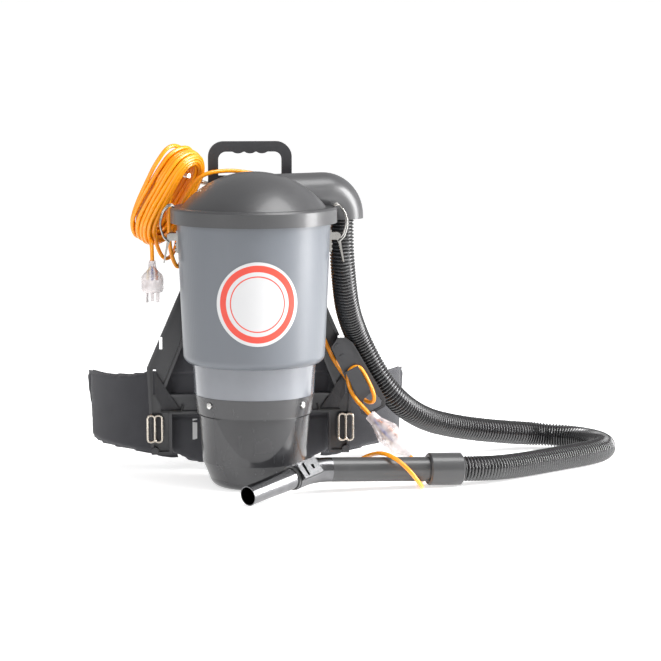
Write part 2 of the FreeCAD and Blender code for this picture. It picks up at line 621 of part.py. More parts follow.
def make_latch(side, place):
    """One over-centre latch at the canister's side: plate and rivets, pin, lever, and wire claw."""
    wall = tank_radius(LATCH_PIVOT_Z)
    pivot_x = wall + LATCH_PIVOT_OUT
    half = LATCH_W / 2
    plate_low = LATCH_PIVOT_Z - LATCH_PLATE_H / 2 - 6
    plate_top = LATCH_PIVOT_Z + 9
    inner = tank_radius(plate_low)
    plate = block(vec(inner - 4, -half, plate_low), vec(wall + LATCH_PLATE_T, half, plate_top))
    wall_form = Part.makeCone(inner, tank_radius(plate_top), plate_top - plate_low, vec(0, 0, plate_low))
    ears = []
    for y in (-half, half - 2):
        ear = block(vec(wall + 0.5, y, LATCH_PIVOT_Z - 7), vec(pivot_x, y + 2, LATCH_PIVOT_Z + 5))
        nose = rod(vec(pivot_x, y, LATCH_PIVOT_Z), vec(pivot_x, y + 2, LATCH_PIVOT_Z), 4)
        ears.append(ear.fuse(nose))
    pin = rod(vec(pivot_x, -half - 0.8, LATCH_PIVOT_Z), vec(pivot_x, half + 0.8, LATCH_PIVOT_Z), LATCH_PIN_R)
    rivets = []
    for z in (plate_low + 5, plate_low + 13):
        rivets.append(rod(vec(wall, 0, z), vec(wall + LATCH_PLATE_T + 2, 0, z), 2.6))
    base = plate.fuse(ears + rivets + [pin]).cut(wall_form)
    save("latch_base_" + side, place(base))

    lever_half = half - 2 - FIT_GAP
    claw_x = pivot_x + 1.4
    claw_z = LATCH_PIVOT_Z - CLAW_PIVOT_DROP
    tail_z = LATCH_PIVOT_Z - LEVER_TAIL
    lever = prism([
        vec(pivot_x - 3, -lever_half, LATCH_PIVOT_Z + 3), vec(pivot_x + 3, -lever_half, LATCH_PIVOT_Z + 3),
        vec(pivot_x + 4.6, -lever_half, claw_z - 3), vec(pivot_x + LEVER_KICK, -lever_half, tail_z),
        vec(pivot_x + LEVER_KICK - 2, -lever_half, tail_z), vec(pivot_x + 1.4, -lever_half, claw_z - 6),
        vec(pivot_x - 3, -lever_half, LATCH_PIVOT_Z - 4),
    ], vec(0, 2 * lever_half, 0))
    pin_bore_r = LATCH_PIN_R + RUN_GAP
    lever = lever.cut(rod(vec(pivot_x, -half, LATCH_PIVOT_Z), vec(pivot_x, half, LATCH_PIVOT_Z), pin_bore_r))
    lever = lever.cut(rod(vec(claw_x, -half, claw_z), vec(claw_x, half, claw_z), CLAW_WIRE_R + RUN_GAP))
    save("latch_lever_" + side, place(lever))

    leg_y = half + 0.8 + CLAW_WIRE_R + 0.5
    hook_z = LID_RIM_TOP_Z + CLAW_WIRE_R + FIT_GAP
    bulge_x = pivot_x + CLAW_BULGE
    climb = [
        (claw_x + 8, claw_z + 7), (bulge_x, (claw_z + hook_z) / 2), (LID_RIM_R + 11, hook_z - 8),
        (LID_RIM_R + 1, hook_z + 2), (LID_RIM_R - 6, hook_z),
    ]
    left = [vec(claw_x, -leg_y, claw_z)] + [vec(x, -leg_y, z) for x, z in climb]
    right = [vec(claw_x, leg_y, claw_z)] + [vec(x, leg_y, z) for x, z in climb]
    across = rod(vec(claw_x, -leg_y, claw_z), vec(claw_x, leg_y, claw_z), CLAW_WIRE_R)
    bar = rod(vec(LID_RIM_R - 6, -leg_y, hook_z), vec(LID_RIM_R - 6, leg_y, hook_z), CLAW_WIRE_R)
    balls = [Part.makeSphere(CLAW_WIRE_R, point) for point in (left[0], right[0], left[-1], right[-1])]
    claw = across.fuse([bar, wire_loop(left, CLAW_WIRE_R), wire_loop(right, CLAW_WIRE_R)] + balls)
    save("latch_claw_" + side, place(claw))


def both_sides(points):
    """A closed symmetric outline in the frame's front plane from its right half, top to bottom."""
    right = [vec(x, FRAME_FRONT_Y, z) for x, z in points]
    left = [vec(-x, FRAME_FRONT_Y, z) for x, z in reversed(points)]
    return right + left


def frame_outline():
    """Right half of the harness frame's outer edge."""
    return [
        (FRAME_HEAD_W / 2, FRAME_TOP_Z), (FRAME_HEAD_W / 2, FRAME_HEAD_Z),
        (FRAME_NECK_X, FRAME_HEAD_Z), (FRAME_RAIL_X, FRAME_RAIL_Z), (FRAME_KNEE_X, FRAME_KNEE_Z),
        (FRAME_LEG_X, FRAME_LEG_Z), (FRAME_LEG_X - FRAME_LEG_W, FRAME_LEG_Z),
        (FRAME_LEG_X - FRAME_LEG_W, CROSSBAR_Z), (FOOT_POST_W / 2, CROSSBAR_Z), (FOOT_POST_W / 2, 0.0),
    ]


def make_frame():
    """The moulded harness frame: a skin with raised border ribs round its edge and its window."""
    edge = both_sides(frame_outline())
    window = both_sides([
        (WINDOW_TOP_X, WINDOW_TOP_Z), (WINDOW_LOW_X, CROSSBAR_Z + CROSSBAR_H),
    ])
    outer_wire = outline(edge[0], *edge[1:])
    window_wire = outline(window[0], *window[1:])
    depth = vec(0, FRAME_RIB, 0)
    whole = Part.Face(outer_wire).extrude(depth).cut(Part.Face(window_wire).extrude(depth))
    inner_edge = outer_wire.makeOffset2D(-FRAME_RIB_W)
    wide_window = window_wire.makeOffset2D(FRAME_RIB_W)
    pocket_depth = vec(0, FRAME_RIB - FRAME_SKIN, 0)
    pocket = Part.Face(inner_edge).extrude(pocket_depth).cut(Part.Face(wide_window).extrude(pocket_depth))
    frame = whole.cut(pocket)
    slots = []
    for side in (-1, 1):
        x = side * (FRAME_LEG_X - 6)
        through = vec(x + SLOT_W / 2, FRAME_FRONT_Y + 14, 172)
        slots.append(block(vec(x - SLOT_W / 2, FRAME_FRONT_Y, 128), through))
        x = side * (FRAME_KNEE_X - 24)
        through = vec(x + SLOT_W / 2, FRAME_FRONT_Y + 14, 228)
        slots.append(block(vec(x - SLOT_W / 2, FRAME_FRONT_Y, 206), through))
    cross = block(vec(-WINDOW_LOW_X, FRAME_FRONT_Y + FRAME_RIB - FRAME_SKIN, SADDLE_UPPER_Z - 4),
                  vec(WINDOW_LOW_X, FRAME_FRONT_Y + FRAME_RIB, SADDLE_UPPER_Z + SADDLE_H + 4))
    cross = cross.common(Part.Face(window_wire).extrude(depth))
    frame = frame.cut(slots).fuse(cross)
    bolt_holes = [rod(vec(x, FRAME_FRONT_Y - 1, z), vec(x, FRAME_FRONT_Y + 14, z), BOLT_R + FIT_GAP)
                  for x, z in frame_bolts()]
    frame = frame.cut(bolt_holes)
    save("harness_frame", frame)


def frame_bolts():
    """Where the saddles and the handle are bolted through the frame."""
    places = []
    for side in (-1, 1):
        places.append((side * SADDLE_W * 0.36, SADDLE_UPPER_Z + SADDLE_H / 2))
        places.append((side * SADDLE_W * 0.36, SADDLE_LOWER_Z + SADDLE_H / 2))
        places.append((side * (HANDLE_W / 2 - HANDLE_BAR / 2), HANDLE_FOOT_Z + 8))
        places.append((side * (HANDLE_W / 2 - HANDLE_BAR / 2), HANDLE_FOOT_Z + 36))
    return places


def make_saddles():
    """Two blocks that carry the canister on the frame, and the bolts that hold them and the handle."""
    skin_front = FRAME_FRONT_Y + FRAME_RIB - FRAME_SKIN
    saddles = []
    for z, radius_at in ((SADDLE_UPPER_Z, tank_radius), (SADDLE_LOWER_Z, None)):
        saddle = block(vec(-SADDLE_W / 2, 60, z), vec(SADDLE_W / 2, skin_front, z + SADDLE_H))
        if radius_at:
            form = Part.makeCone(radius_at(z), radius_at(z + SADDLE_H), SADDLE_H, vec(0, 0, z))
        else:
            form = housing_form()
        saddle = saddle.cut(form)
        for x in (-SADDLE_W * 0.36, SADDLE_W * 0.36):
            height = z + SADDLE_H / 2
            saddle = saddle.cut(rod(vec(x, skin_front - 8, height), vec(x, skin_front + 1, height), BOLT_R))
        saddles.append(saddle)
    save("upper_saddle", saddles[0])
    save("lower_saddle", saddles[1])
    bolts = []
    for x, z in frame_bolts():
        back = FRAME_FRONT_Y + FRAME_RIB
        reach = skin_front - 8 if z < HANDLE_FOOT_Z else FRAME_FRONT_Y - 8
        shank = rod(vec(x, reach, z), vec(x, back, z), BOLT_R)
        head = rod(vec(x, back, z), vec(x, back + BOLT_HEAD_H, z), BOLT_HEAD_R)
        bolts.append(shank.fuse(head))
    save("frame_bolts", *bolts)


def make_handle():
    """The carrying handle: a flat loop with finger bumps under its bar, bolted in front of the frame."""
    half = HANDLE_W / 2
    corner = HANDLE_CORNER_R
    bend = corner * (1 - math.sqrt(0.5))
    y = FRAME_FRONT_Y - HANDLE_T
    top = HANDLE_TOP_Z
    loop = prism([
        vec(-half, y, HANDLE_FOOT_Z), vec(-half, y, top - corner),
        (vec(-half + bend, y, top - bend), vec(-half + corner, y, top)),
        vec(half - corner, y, top),
        (vec(half - bend, y, top - bend), vec(half, y, top - corner)),
        vec(half, y, HANDLE_FOOT_Z),
    ], vec(0, HANDLE_T, 0))
    inner = half - HANDLE_BAR
    inner_top = top - HANDLE_BAR
    inner_corner = corner / 2
    inner_bend = inner_corner * (1 - math.sqrt(0.5))
    gap = prism([
        vec(-inner, y, HANDLE_FOOT_Z), vec(-inner, y, inner_top - inner_corner),
        (vec(-inner + inner_bend, y, inner_top - inner_bend), vec(-inner + inner_corner, y, inner_top)),
        vec(inner - inner_corner, y, inner_top),
        (vec(inner - inner_bend, y, inner_top - inner_bend), vec(inner, y, inner_top - inner_corner)),
        vec(inner, y, HANDLE_FOOT_Z),
    ], vec(0, HANDLE_T, 0))
    handle = loop.cut(gap)
    step = 2 * (inner - inner_corner) / GRIP_BUMPS
    bumps = []
    for index in range(1, GRIP_BUMPS):
        x = -inner + inner_corner + index * step
        z = inner_top + GRIP_BUMP_R - GRIP_BUMP_RISE
        lobe = rod(vec(x, y, z), vec(x, y + HANDLE_T, z), GRIP_BUMP_R)
        room = block(vec(x - step, y, inner_top - 10), vec(x + step, y + HANDLE_T, inner_top + 1))
        bumps.append(lobe.common(room))
    handle = handle.fuse(bumps)
    handle = handle.cut([rod(vec(x, FRAME_FRONT_Y - 9, z), vec(x, FRAME_FRONT_Y + 1, z), BOLT_R)
                         for x, z in frame_bolts() if z > HANDLE_FOOT_Z])
    save("carry_handle", handle)


def make_padding():
    """The back pad, the two belt wings and the two shoulder straps, as plain soft solids."""
    back = FRAME_FRONT_Y + FRAME_RIB + BOLT_HEAD_H + SOFT_GAP
    pad_points = [
        (56.0, PAD_TOP_Z), (FRAME_RAIL_X - 12, FRAME_RAIL_Z), (FRAME_KNEE_X - 20, FRAME_KNEE_Z + 6),
        (FRAME_LEG_X - 22, PAD_LOW_Z + 23), (106.0, PAD_LOW_Z + 8), (100.0, PAD_LOW_Z),
    ]
    right = [vec(x, back, z) for x, z in pad_points]
    left = [vec(-x, back, z) for x, z in reversed(pad_points)]
    save("back_pad", prism(right + left, vec(0, PAD_T, 0)))
    wing_front = back + PAD_T + SOFT_GAP
    middle = vec((WING_ROOT_X + WING_END_X) / 2 + 12, (wing_front + WING_END_Y) / 2 - 22, 0)
    inner_end = vec(WING_END_X - WING_T * 0.8, WING_END_Y + WING_T * 0.5, 0)
    inner_middle = middle + vec(-WING_T * 0.5, WING_T * 0.85, 0)
    plan = prism([
        vec(WING_ROOT_X, wing_front, 0),
        (middle, vec(WING_END_X, WING_END_Y, 0)),
        inner_end, (inner_middle, vec(WING_ROOT_X, wing_front + WING_T, 0)),
    ], vec(0, 0, WING_ROOT_TOP_Z + 20))
    side = prism([
        vec(WING_ROOT_X - 1, 0, WING_ROOT_LOW_Z), vec(WING_ROOT_X - 1, 0, WING_ROOT_TOP_Z),
        vec(WING_END_X + 20, 0, WING_END_TOP_Z), vec(WING_END_X - 4, 0, WING_END_LOW_Z + 6),
        vec(WING_END_X - 14, 0, WING_END_LOW_Z),
    ], vec(0, WING_END_Y + 60, 0))
    wing = plan.common(side)
    save("belt_wing_right", wing)
    save("belt_wing_left", mirrored(wing))
    strap_front = back + PAD_T + SOFT_GAP
    low_y = strap_front + WING_T + SOFT_GAP
    crest_y = strap_front + STRAP_OUT
    x = STRAP_X - STRAP_W / 2
    low_z = STRAP_LOW_Z
    top_z = STRAP_TOP_Z
    strap = prism([
        vec(x, strap_front, top_z),
        (vec(x, crest_y - 12, top_z - 14), vec(x, crest_y, top_z - 100)),
        (vec(x, crest_y - 16, low_z + 60), vec(x, low_y + 20, low_z)),
        vec(x, low_y + 20 - STRAP_T, low_z + 4),
        (vec(x, crest_y - 16 - STRAP_T, low_z + 64), vec(x, crest_y - STRAP_T, top_z - 102)),
        (vec(x, crest_y - 14 - STRAP_T, top_z - 22 - STRAP_T), vec(x, strap_front, top_z - STRAP_T - 4)),
    ], vec(STRAP_W, 0, 0))
    save("shoulder_strap_right", strap)
    save("shoulder_strap_left", mirrored(strap))
    x = STRAP_X - WEB_W / 2
    sewn_y = low_y + 20 - STRAP_T / 2
    web_low = prism([
        vec(x, sewn_y, low_z), vec(x, sewn_y - WEB_T, low_z), vec(x, strap_front, low_z - 52),
        vec(x, strap_front, low_z - 64), vec(x, strap_front + WEB_T, low_z - 64),
        vec(x, strap_front + WEB_T, low_z - 51),
    ], vec(WEB_W, 0, 0))
    return [web_low, mirrored(web_low)]


def ring_half(x_from, x_to, y):
    """One loop of a strap ring as bent wire."""
    low = RING_Z - RING_H / 2 + RING_WIRE_R
    top = RING_Z + RING_H / 2 - RING_WIRE_R
    corner = RING_CORNER
    cut = corner * (1 - math.sqrt(0.5))
    points = [
        vec(x_from, y, RING_Z), vec(x_from, y, low + corner), vec(x_from + cut, y, low + cut),
        vec(x_from + corner, y, low), vec(x_to - corner, y, low), vec(x_to - cut, y, low + cut),
        vec(x_to, y, low + corner), vec(x_to, y, top - corner), vec(x_to - cut, y, top - cut),
        vec(x_to - corner, y, top), vec(x_from + corner, y, top), vec(x_from + cut, y, top - cut),
        vec(x_from, y, top - corner), vec(x_from, y, RING_Z),
    ]
    solids = [rod(before, after, RING_WIRE_R) for before, after in zip(points, points[1:])]
    solids += [Part.makeSphere(RING_WIRE_R, point) for point in points]
    return solids


def make_webbing(strap_webs):
    """Rings, webbing and ring studs on the frame's legs, and the belt's webbing with its buckle."""
    ring_y = FRAME_FRONT_Y - WEB_T - RING_WIRE_R - SOFT_GAP / 2
    half = RING_W / 2 - RING_WIRE_R
    solids = ring_half(RING_X - half, RING_X, ring_y) + ring_half(RING_X, RING_X + half, ring_y)
    glide = solids[0].fuse(solids[1:])
    save("strap_ring_right", glide)
    save("strap_ring_left", mirrored(glide))
    band = block(vec(RING_X - RING_W / 2 - 3, FRAME_FRONT_Y - WEB_T, RING_Z - WEB_W / 2),
                 vec(RING_X + 7, FRAME_FRONT_Y, RING_Z + WEB_W / 2))
    stud_z = FRAME_LEG_Z + 7
    stud = rod(vec(RING_X, FRAME_FRONT_Y - 5, stud_z), vec(RING_X, FRAME_FRONT_Y + FRAME_RIB, stud_z), 6.0)
    frame_skin = block(vec(RING_X - 8, FRAME_FRONT_Y, stud_z - 8),
                       vec(RING_X + 8, FRAME_FRONT_Y + FRAME_RIB, stud_z + 8))
    stud = stud.cut(frame_skin)
    save("ring_studs", stud, mirrored(stud))
    fold = prism([
        vec(FRAME_LEG_X - 4, FRAME_FRONT_Y - WEB_T, 173), vec(FRAME_LEG_X - 6, FRAME_FRONT_Y - WEB_T, 128),
        vec(150, FRAME_FRONT_Y - WEB_T, 104), vec(119, FRAME_FRONT_Y - WEB_T, 104),
    ], vec(0, WEB_T, 0))
    save("strap_webbing", band, mirrored(band), fold, mirrored(fold), *strap_webs)
    bar = rod(vec(117, FRAME_FRONT_Y - WEB_T - 2, 102), vec(152, FRAME_FRONT_Y - WEB_T - 2, 102), 2.0)
    hook = rod(vec(117, FRAME_FRONT_Y - WEB_T - 2, 102), vec(114, FRAME_FRONT_Y - WEB_T - 2, 111), 2.0)
    bar = bar.fuse([hook, Part.makeSphere(2.0, vec(117, FRAME_FRONT_Y - WEB_T - 2, 102))])
    save("strap_bars", bar, mirrored(bar))
    low = WAIST_WEB_Z - WEB_W / 2
    half_buckle = BUCKLE_W / 2
    inner_end = vec(WING_END_X - WING_T * 0.8, WING_END_Y + WING_T * 0.5, low)
    outer_end = vec(WING_END_X, WING_END_Y, low)
    seam = (outer_end - inner_end).normalize()
    out = vec(-seam.y, seam.x, 0)
    middle = (outer_end + inner_end) / 2 + out * SOFT_GAP
    turn = middle + out * 6
    web = prism([
        middle - seam * WEB_T / 2, middle + seam * WEB_T / 2, turn + seam * WEB_T / 2,
        vec(turn.x - 4, WAIST_WEB_Y + WEB_T, low), vec(half_buckle - 12, WAIST_WEB_Y + WEB_T, low),
        vec(half_buckle - 12, WAIST_WEB_Y, low), vec(turn.x - 5, WAIST_WEB_Y, low), turn - seam * WEB_T / 2,
    ], vec(0, 0, WEB_W))
    save("waist_webbing", web, mirrored(web))
    centre_y = WAIST_WEB_Y + WEB_T / 2
    female = block(vec(-half_buckle, centre_y - BUCKLE_T / 2, WAIST_WEB_Z - BUCKLE_H / 2),
                   vec(4, centre_y + BUCKLE_T / 2, WAIST_WEB_Z + BUCKLE_H / 2))
    slot_l = block(vec(-half_buckle, WAIST_WEB_Y - 0.2, low - 0.5),
                   vec(-half_buckle + 13, WAIST_WEB_Y + WEB_T + 0.2, low + WEB_W + 0.5))
    male = block(vec(4, centre_y - BUCKLE_T / 2, WAIST_WEB_Z - BUCKLE_H / 2),
                 vec(half_buckle, centre_y + BUCKLE_T / 2, WAIST_WEB_Z + BUCKLE_H / 2))
    slot_r = block(vec(half_buckle - 13, WAIST_WEB_Y - 0.2, low - 0.5),
                   vec(half_buckle, WAIST_WEB_Y + WEB_T + 0.2, low + WEB_W + 0.5))
    save("buckle_socket", female.cut(slot_l))
    save("buckle_prong", male.cut(slot_r))


def make_tag():
    """The small bare fabric tag on the pad below the crossbar."""
    back = FRAME_FRONT_Y + FRAME_RIB + BOLT_HEAD_H
    tag = block(vec(-98, back - 1.2, 50), vec(-90, back, 86))
    save("fabric_tag", tag)


def make_retainer():
    """The lead retainer: a rimmed plate on two posts in front of the right rail, with a raised tongue."""
    y = RETAINER_Y
    points = [
        vec(135, y, 212), vec(146, y, 228), vec(160, y, 228), vec(172, y, 219), vec(228, y, 122),
        vec(226, y, 110), vec(200, y, 95), vec(186, y, 98),
    ]
    wire = outline(points[0], *points[1:])
    plate = Part.Face(wire).extrude(vec(0, RETAINER_T, 0))
    rim = Part.Face(wire).extrude(vec(0, -RETAINER_RIM, 0)).cut(
        Part.Face(wire.makeOffset2D(-2.5)).extrude(vec(0, -RETAINER_RIM, 0)))
    plate = plate.fuse(rim)
    stem = block(vec(-5, -TONGUE_RISE, -9), vec(5, 0, 9))
    cap = block(vec(-TONGUE_W / 2, -TONGUE_RISE - TONGUE_T, -TONGUE_L / 2),
                vec(TONGUE_W / 2, -TONGUE_RISE, TONGUE_L / 2))
    tongue = stem.fuse(cap).rotated(vec(0, 0, 0), vec(0, 1, 0), -TONGUE_LEAN).translated(vec(178.5, y, 157))
    hole = prism([
        vec(189, y - 4, 118), vec(191, y - 4, 124), vec(204, y - 4, 136), vec(209, y - 4, 136),
        vec(220.5, y - 4, 121), vec(219.5, y - 4, 112), vec(201, y - 4, 102), vec(191, y - 4, 104),
    ], vec(0, 10, 0))
    plate = plate.fuse(tongue).cut(hole)
    posts = []
    screws = []
    for x, z in ((146, 214), (154, 196)):
        posts.append(rod(vec(x, y + RETAINER_T, z), vec(x, FRAME_FRONT_Y + FRAME_RIB - FRAME_SKIN, z), 5.0))
        screws.append(rod(vec(x, y - 2.5, z), vec(x, y, z), 4.2))
    save("lead_retainer", plate.fuse(posts))
    save("retainer_screws", *screws)


def make_lead_hook():
    """The bent rod on the frame's head that the coiled lead hangs from."""
    back = FRAME_FRONT_Y + FRAME_RIB + HOOK_ROD_R
    hang = COIL_HALF_RUN + COIL_TURN_R - COIL_BUNDLE_R - HOOK_ROD_R - FIT_GAP
    peg = COIL_CENTRE + COIL_AXIS * hang
    points = [
        vec(-30, back, HOOK_ARM_Z), vec(-72, back, HOOK_ARM_Z), vec(-108, back + 10, HOOK_ARM_Z + 16),
        peg - COIL_FACE * 50, peg + COIL_FACE * 13, peg + COIL_FACE * 22 + vec(0, 0, 3),
    ]
    save("lead_hook", wire_loop(points, HOOK_ROD_R))


def coil_solid():
    """The closed outer shape of the coiled lead: a fat rounded loop with long sides."""
    run = COIL_AXIS * COIL_HALF_RUN
    width = COIL_FACE.cross(COIL_AXIS).normalize() * COIL_TURN_R
    top = COIL_CENTRE + run + COIL_AXIS * COIL_TURN_R
    low = COIL_CENTRE - run - COIL_AXIS * COIL_TURN_R
    right_top = COIL_CENTRE + run + width
    left_top = COIL_CENTRE + run - width
    left_low = COIL_CENTRE - run - width
    right_low = COIL_CENTRE - run + width
    path = Part.Wire([
        Part.LineSegment(right_low, right_top).toShape(), Part.Arc(right_top, top, left_top).toShape(),
        Part.LineSegment(left_top, left_low).toShape(), Part.Arc(left_low, low, right_low).toShape(),
    ])
    section = Part.Wire([Part.Circle(right_low, COIL_AXIS, COIL_BUNDLE_R).toShape()])
    return path.makePipeShell([section], True, True)


def make_plug():
    """The mains plug at the lead's free end: a round body with a neck and three flat pins."""
    neck = LEAD_R + 2.4
    body = turned([
        (0.0, 0.0), (neck, 0.0), (neck + 1.5, -14.0), (PLUG_R - 3, -22.0), (PLUG_R, -27.0),
        (PLUG_R, -PLUG_H + 5), (PLUG_R - 2, -PLUG_H), (0.0, -PLUG_H),
    ])
    pins = []
    for angle in (90, 210, 330):
        pin = block(vec(7.0, -0.8, -PLUG_H - 17), vec(13.2, 0.8, -PLUG_H + 1))
        pins.append(pin.rotated(vec(10, 0, 0), vec(0, 0, 1), 90 if angle == 90 else 30).rotated(
            vec(0, 0, 0), vec(0, 0, 1), angle))
    plug = body.fuse(pins)
    save("mains_plug", plug.translated(PLUG_TOP))


def make_coupling():
    """The in-line socket of the extension lead with the machine's plug pushed into it."""
    axis = (SOCKET_END - SOCKET_TOP)
    length = axis.Length
    neck = LEAD_R + 3.0
    parting = length * 0.60
    socket = turned([
        (0.0, 0.0), (neck + 3, 0.0), (neck + 4.5, 16.0), (SOCKET_R - 4, 30.0), (SOCKET_R, 40.0),
        (SOCKET_R, parting), (0.0, parting),
    ])
    plug = turned([
        (0.0, parting), (SOCKET_R - 2, parting), (SOCKET_R - 1, parting + 12), (SOCKET_R - 5, parting + 22),
        (neck + 3, length - 8), (neck + 2, length), (0.0, length),
    ])
    turn = FreeCAD.Rotation(vec(0, 0, 1), axis)
    place = FreeCAD.Placement(SOCKET_TOP, turn)
    for node, shape in (("lead_socket", socket), ("machine_plug", plug)):
        shape.Placement = place
        save(node, shape)


def make_gland():
    """The strain relief where the machine's own flex leaves the housing."""
    wall = BOWL_MID_R - 1
    gland = turned([
        (0.0, -8.0), (LEAD_R + 1.8, -8.0), (LEAD_R + 1.8, 4.0), (LEAD_R + 5.5, 4.0), (LEAD_R + 5.5, 8.0),
        (LEAD_R + 1.8, GLAND_L + 4), (0.0, GLAND_L + 4),
    ])
    gland.Placement = FreeCAD.Placement(vec(wall, 0, GLAND_Z), FreeCAD.Rotation(vec(0, 0, 1), vec(1, 0, 0)))
    gland = about_z(gland, GLAND_AZIMUTH)
    save("flex_gland", gland)
    azimuth = math.radians(GLAND_AZIMUTH)
    reach = wall + GLAND_L + 4
    return vec(reach * math.cos(azimuth), reach * math.sin(azimuth), GLAND_Z)


def make_hose_fittings():
    """The swivel ring in the duct's mouth and the cuff at the hose's far end."""
    azimuth = math.degrees(DUCT_ANGLE)
    inner = DUCT_R - LID_WALL
    neck = HOSE_R + 0.2
    swivel = turned([
        (neck, DUCT_MOUTH_Z), (inner - RUN_GAP, DUCT_MOUTH_Z), (inner - RUN_GAP, DUCT_MOUTH_Z + DUCT_STUB_H),
        (neck + 3, DUCT_MOUTH_Z + DUCT_STUB_H), (neck + 3, DUCT_MOUTH_Z + 14), (neck, DUCT_MOUTH_Z + 14),
    ]).translated(vec(DUCT_MOUTH_REACH, 0, 0))
    save("hose_swivel", about_z(swivel, azimuth))
    end = CUFF_START + GRIP_AXIS * CUFF_L
    outer = rod(CUFF_START, end, CUFF_R)
    hose_socket = rod(CUFF_START - GRIP_AXIS, CUFF_START + GRIP_AXIS * 12, HOSE_R)
    grip_socket = rod(CUFF_START + GRIP_AXIS * (CUFF_L - GRIP_INTO_CUFF), end + GRIP_AXIS, GRIP_R + RUN_GAP)
    passage = rod(CUFF_START - GRIP_AXIS, end, HOSE_BORE_R)
    cuff = outer.cut([hose_socket, grip_socket, passage])
    chamfer_edges = [edge for edge in cuff.Edges if abs(edge.Length - 2 * math.pi * CUFF_R) < 0.01]
    cuff = cuff.makeChamfer(2.5, chamfer_edges)
    save("hose_cuff", cuff)


def tip_axis():
    """Direction from the handpiece's bend to the mouth of its metal tube."""
    return (TIP_MOUTH - GRIP_TURN).normalize()


def grip_path():
    """Centre line of the handpiece: out of the cuff, round its bend and up to its collar."""
    start = CUFF_START + GRIP_AXIS * (CUFF_L - GRIP_INTO_CUFF + FIT_GAP)
    axis = tip_axis()
    first = (GRIP_TURN - start).normalize()
    half_turn = first.getAngle(axis) / 2
    reach = GRIP_BEND_R * math.tan(half_turn)
    inward = (axis - first).normalize()
    centre = GRIP_TURN + inward * (GRIP_BEND_R / math.cos(half_turn))
    bend_start = GRIP_TURN - first * reach
    bend_end = GRIP_TURN + axis * reach
    end = TIP_MOUTH - axis * TIP_L
    return Part.Wire([
        Part.LineSegment(start, bend_start).toShape(),
        Part.Arc(bend_start, centre - inward * GRIP_BEND_R, bend_end).toShape(),
        Part.LineSegment(bend_end, end).toShape(),
    ])


def regulator_frame():
    """Centre, side and outward directions of the suction regulator on the handpiece's collar."""
    axis = tip_axis()
    out = vec(-axis.y, axis.x, 0).normalize()
    if out.y > 0:
        out = out * -1
    out = (out + vec(0, 0, 0.75)).normalize()
    out = (out - axis * out.dot(axis)).normalize()
    across = axis.cross(out).normalize()
    centre = TIP_MOUTH - axis * (TIP_L + 22)
    return centre, axis, across, out


def local_block(low, high, centre, axis, across, out):
    """A box given in the regulator's own directions: along, across and outward."""
    shape = block(low, high)
    matrix = FreeCAD.Matrix(
        axis.x, across.x, out.x, centre.x, axis.y, across.y, out.y, centre.y,
        axis.z, across.z, out.z, centre.z, 0, 0, 0, 1)
    return shape.transformGeometry(matrix)


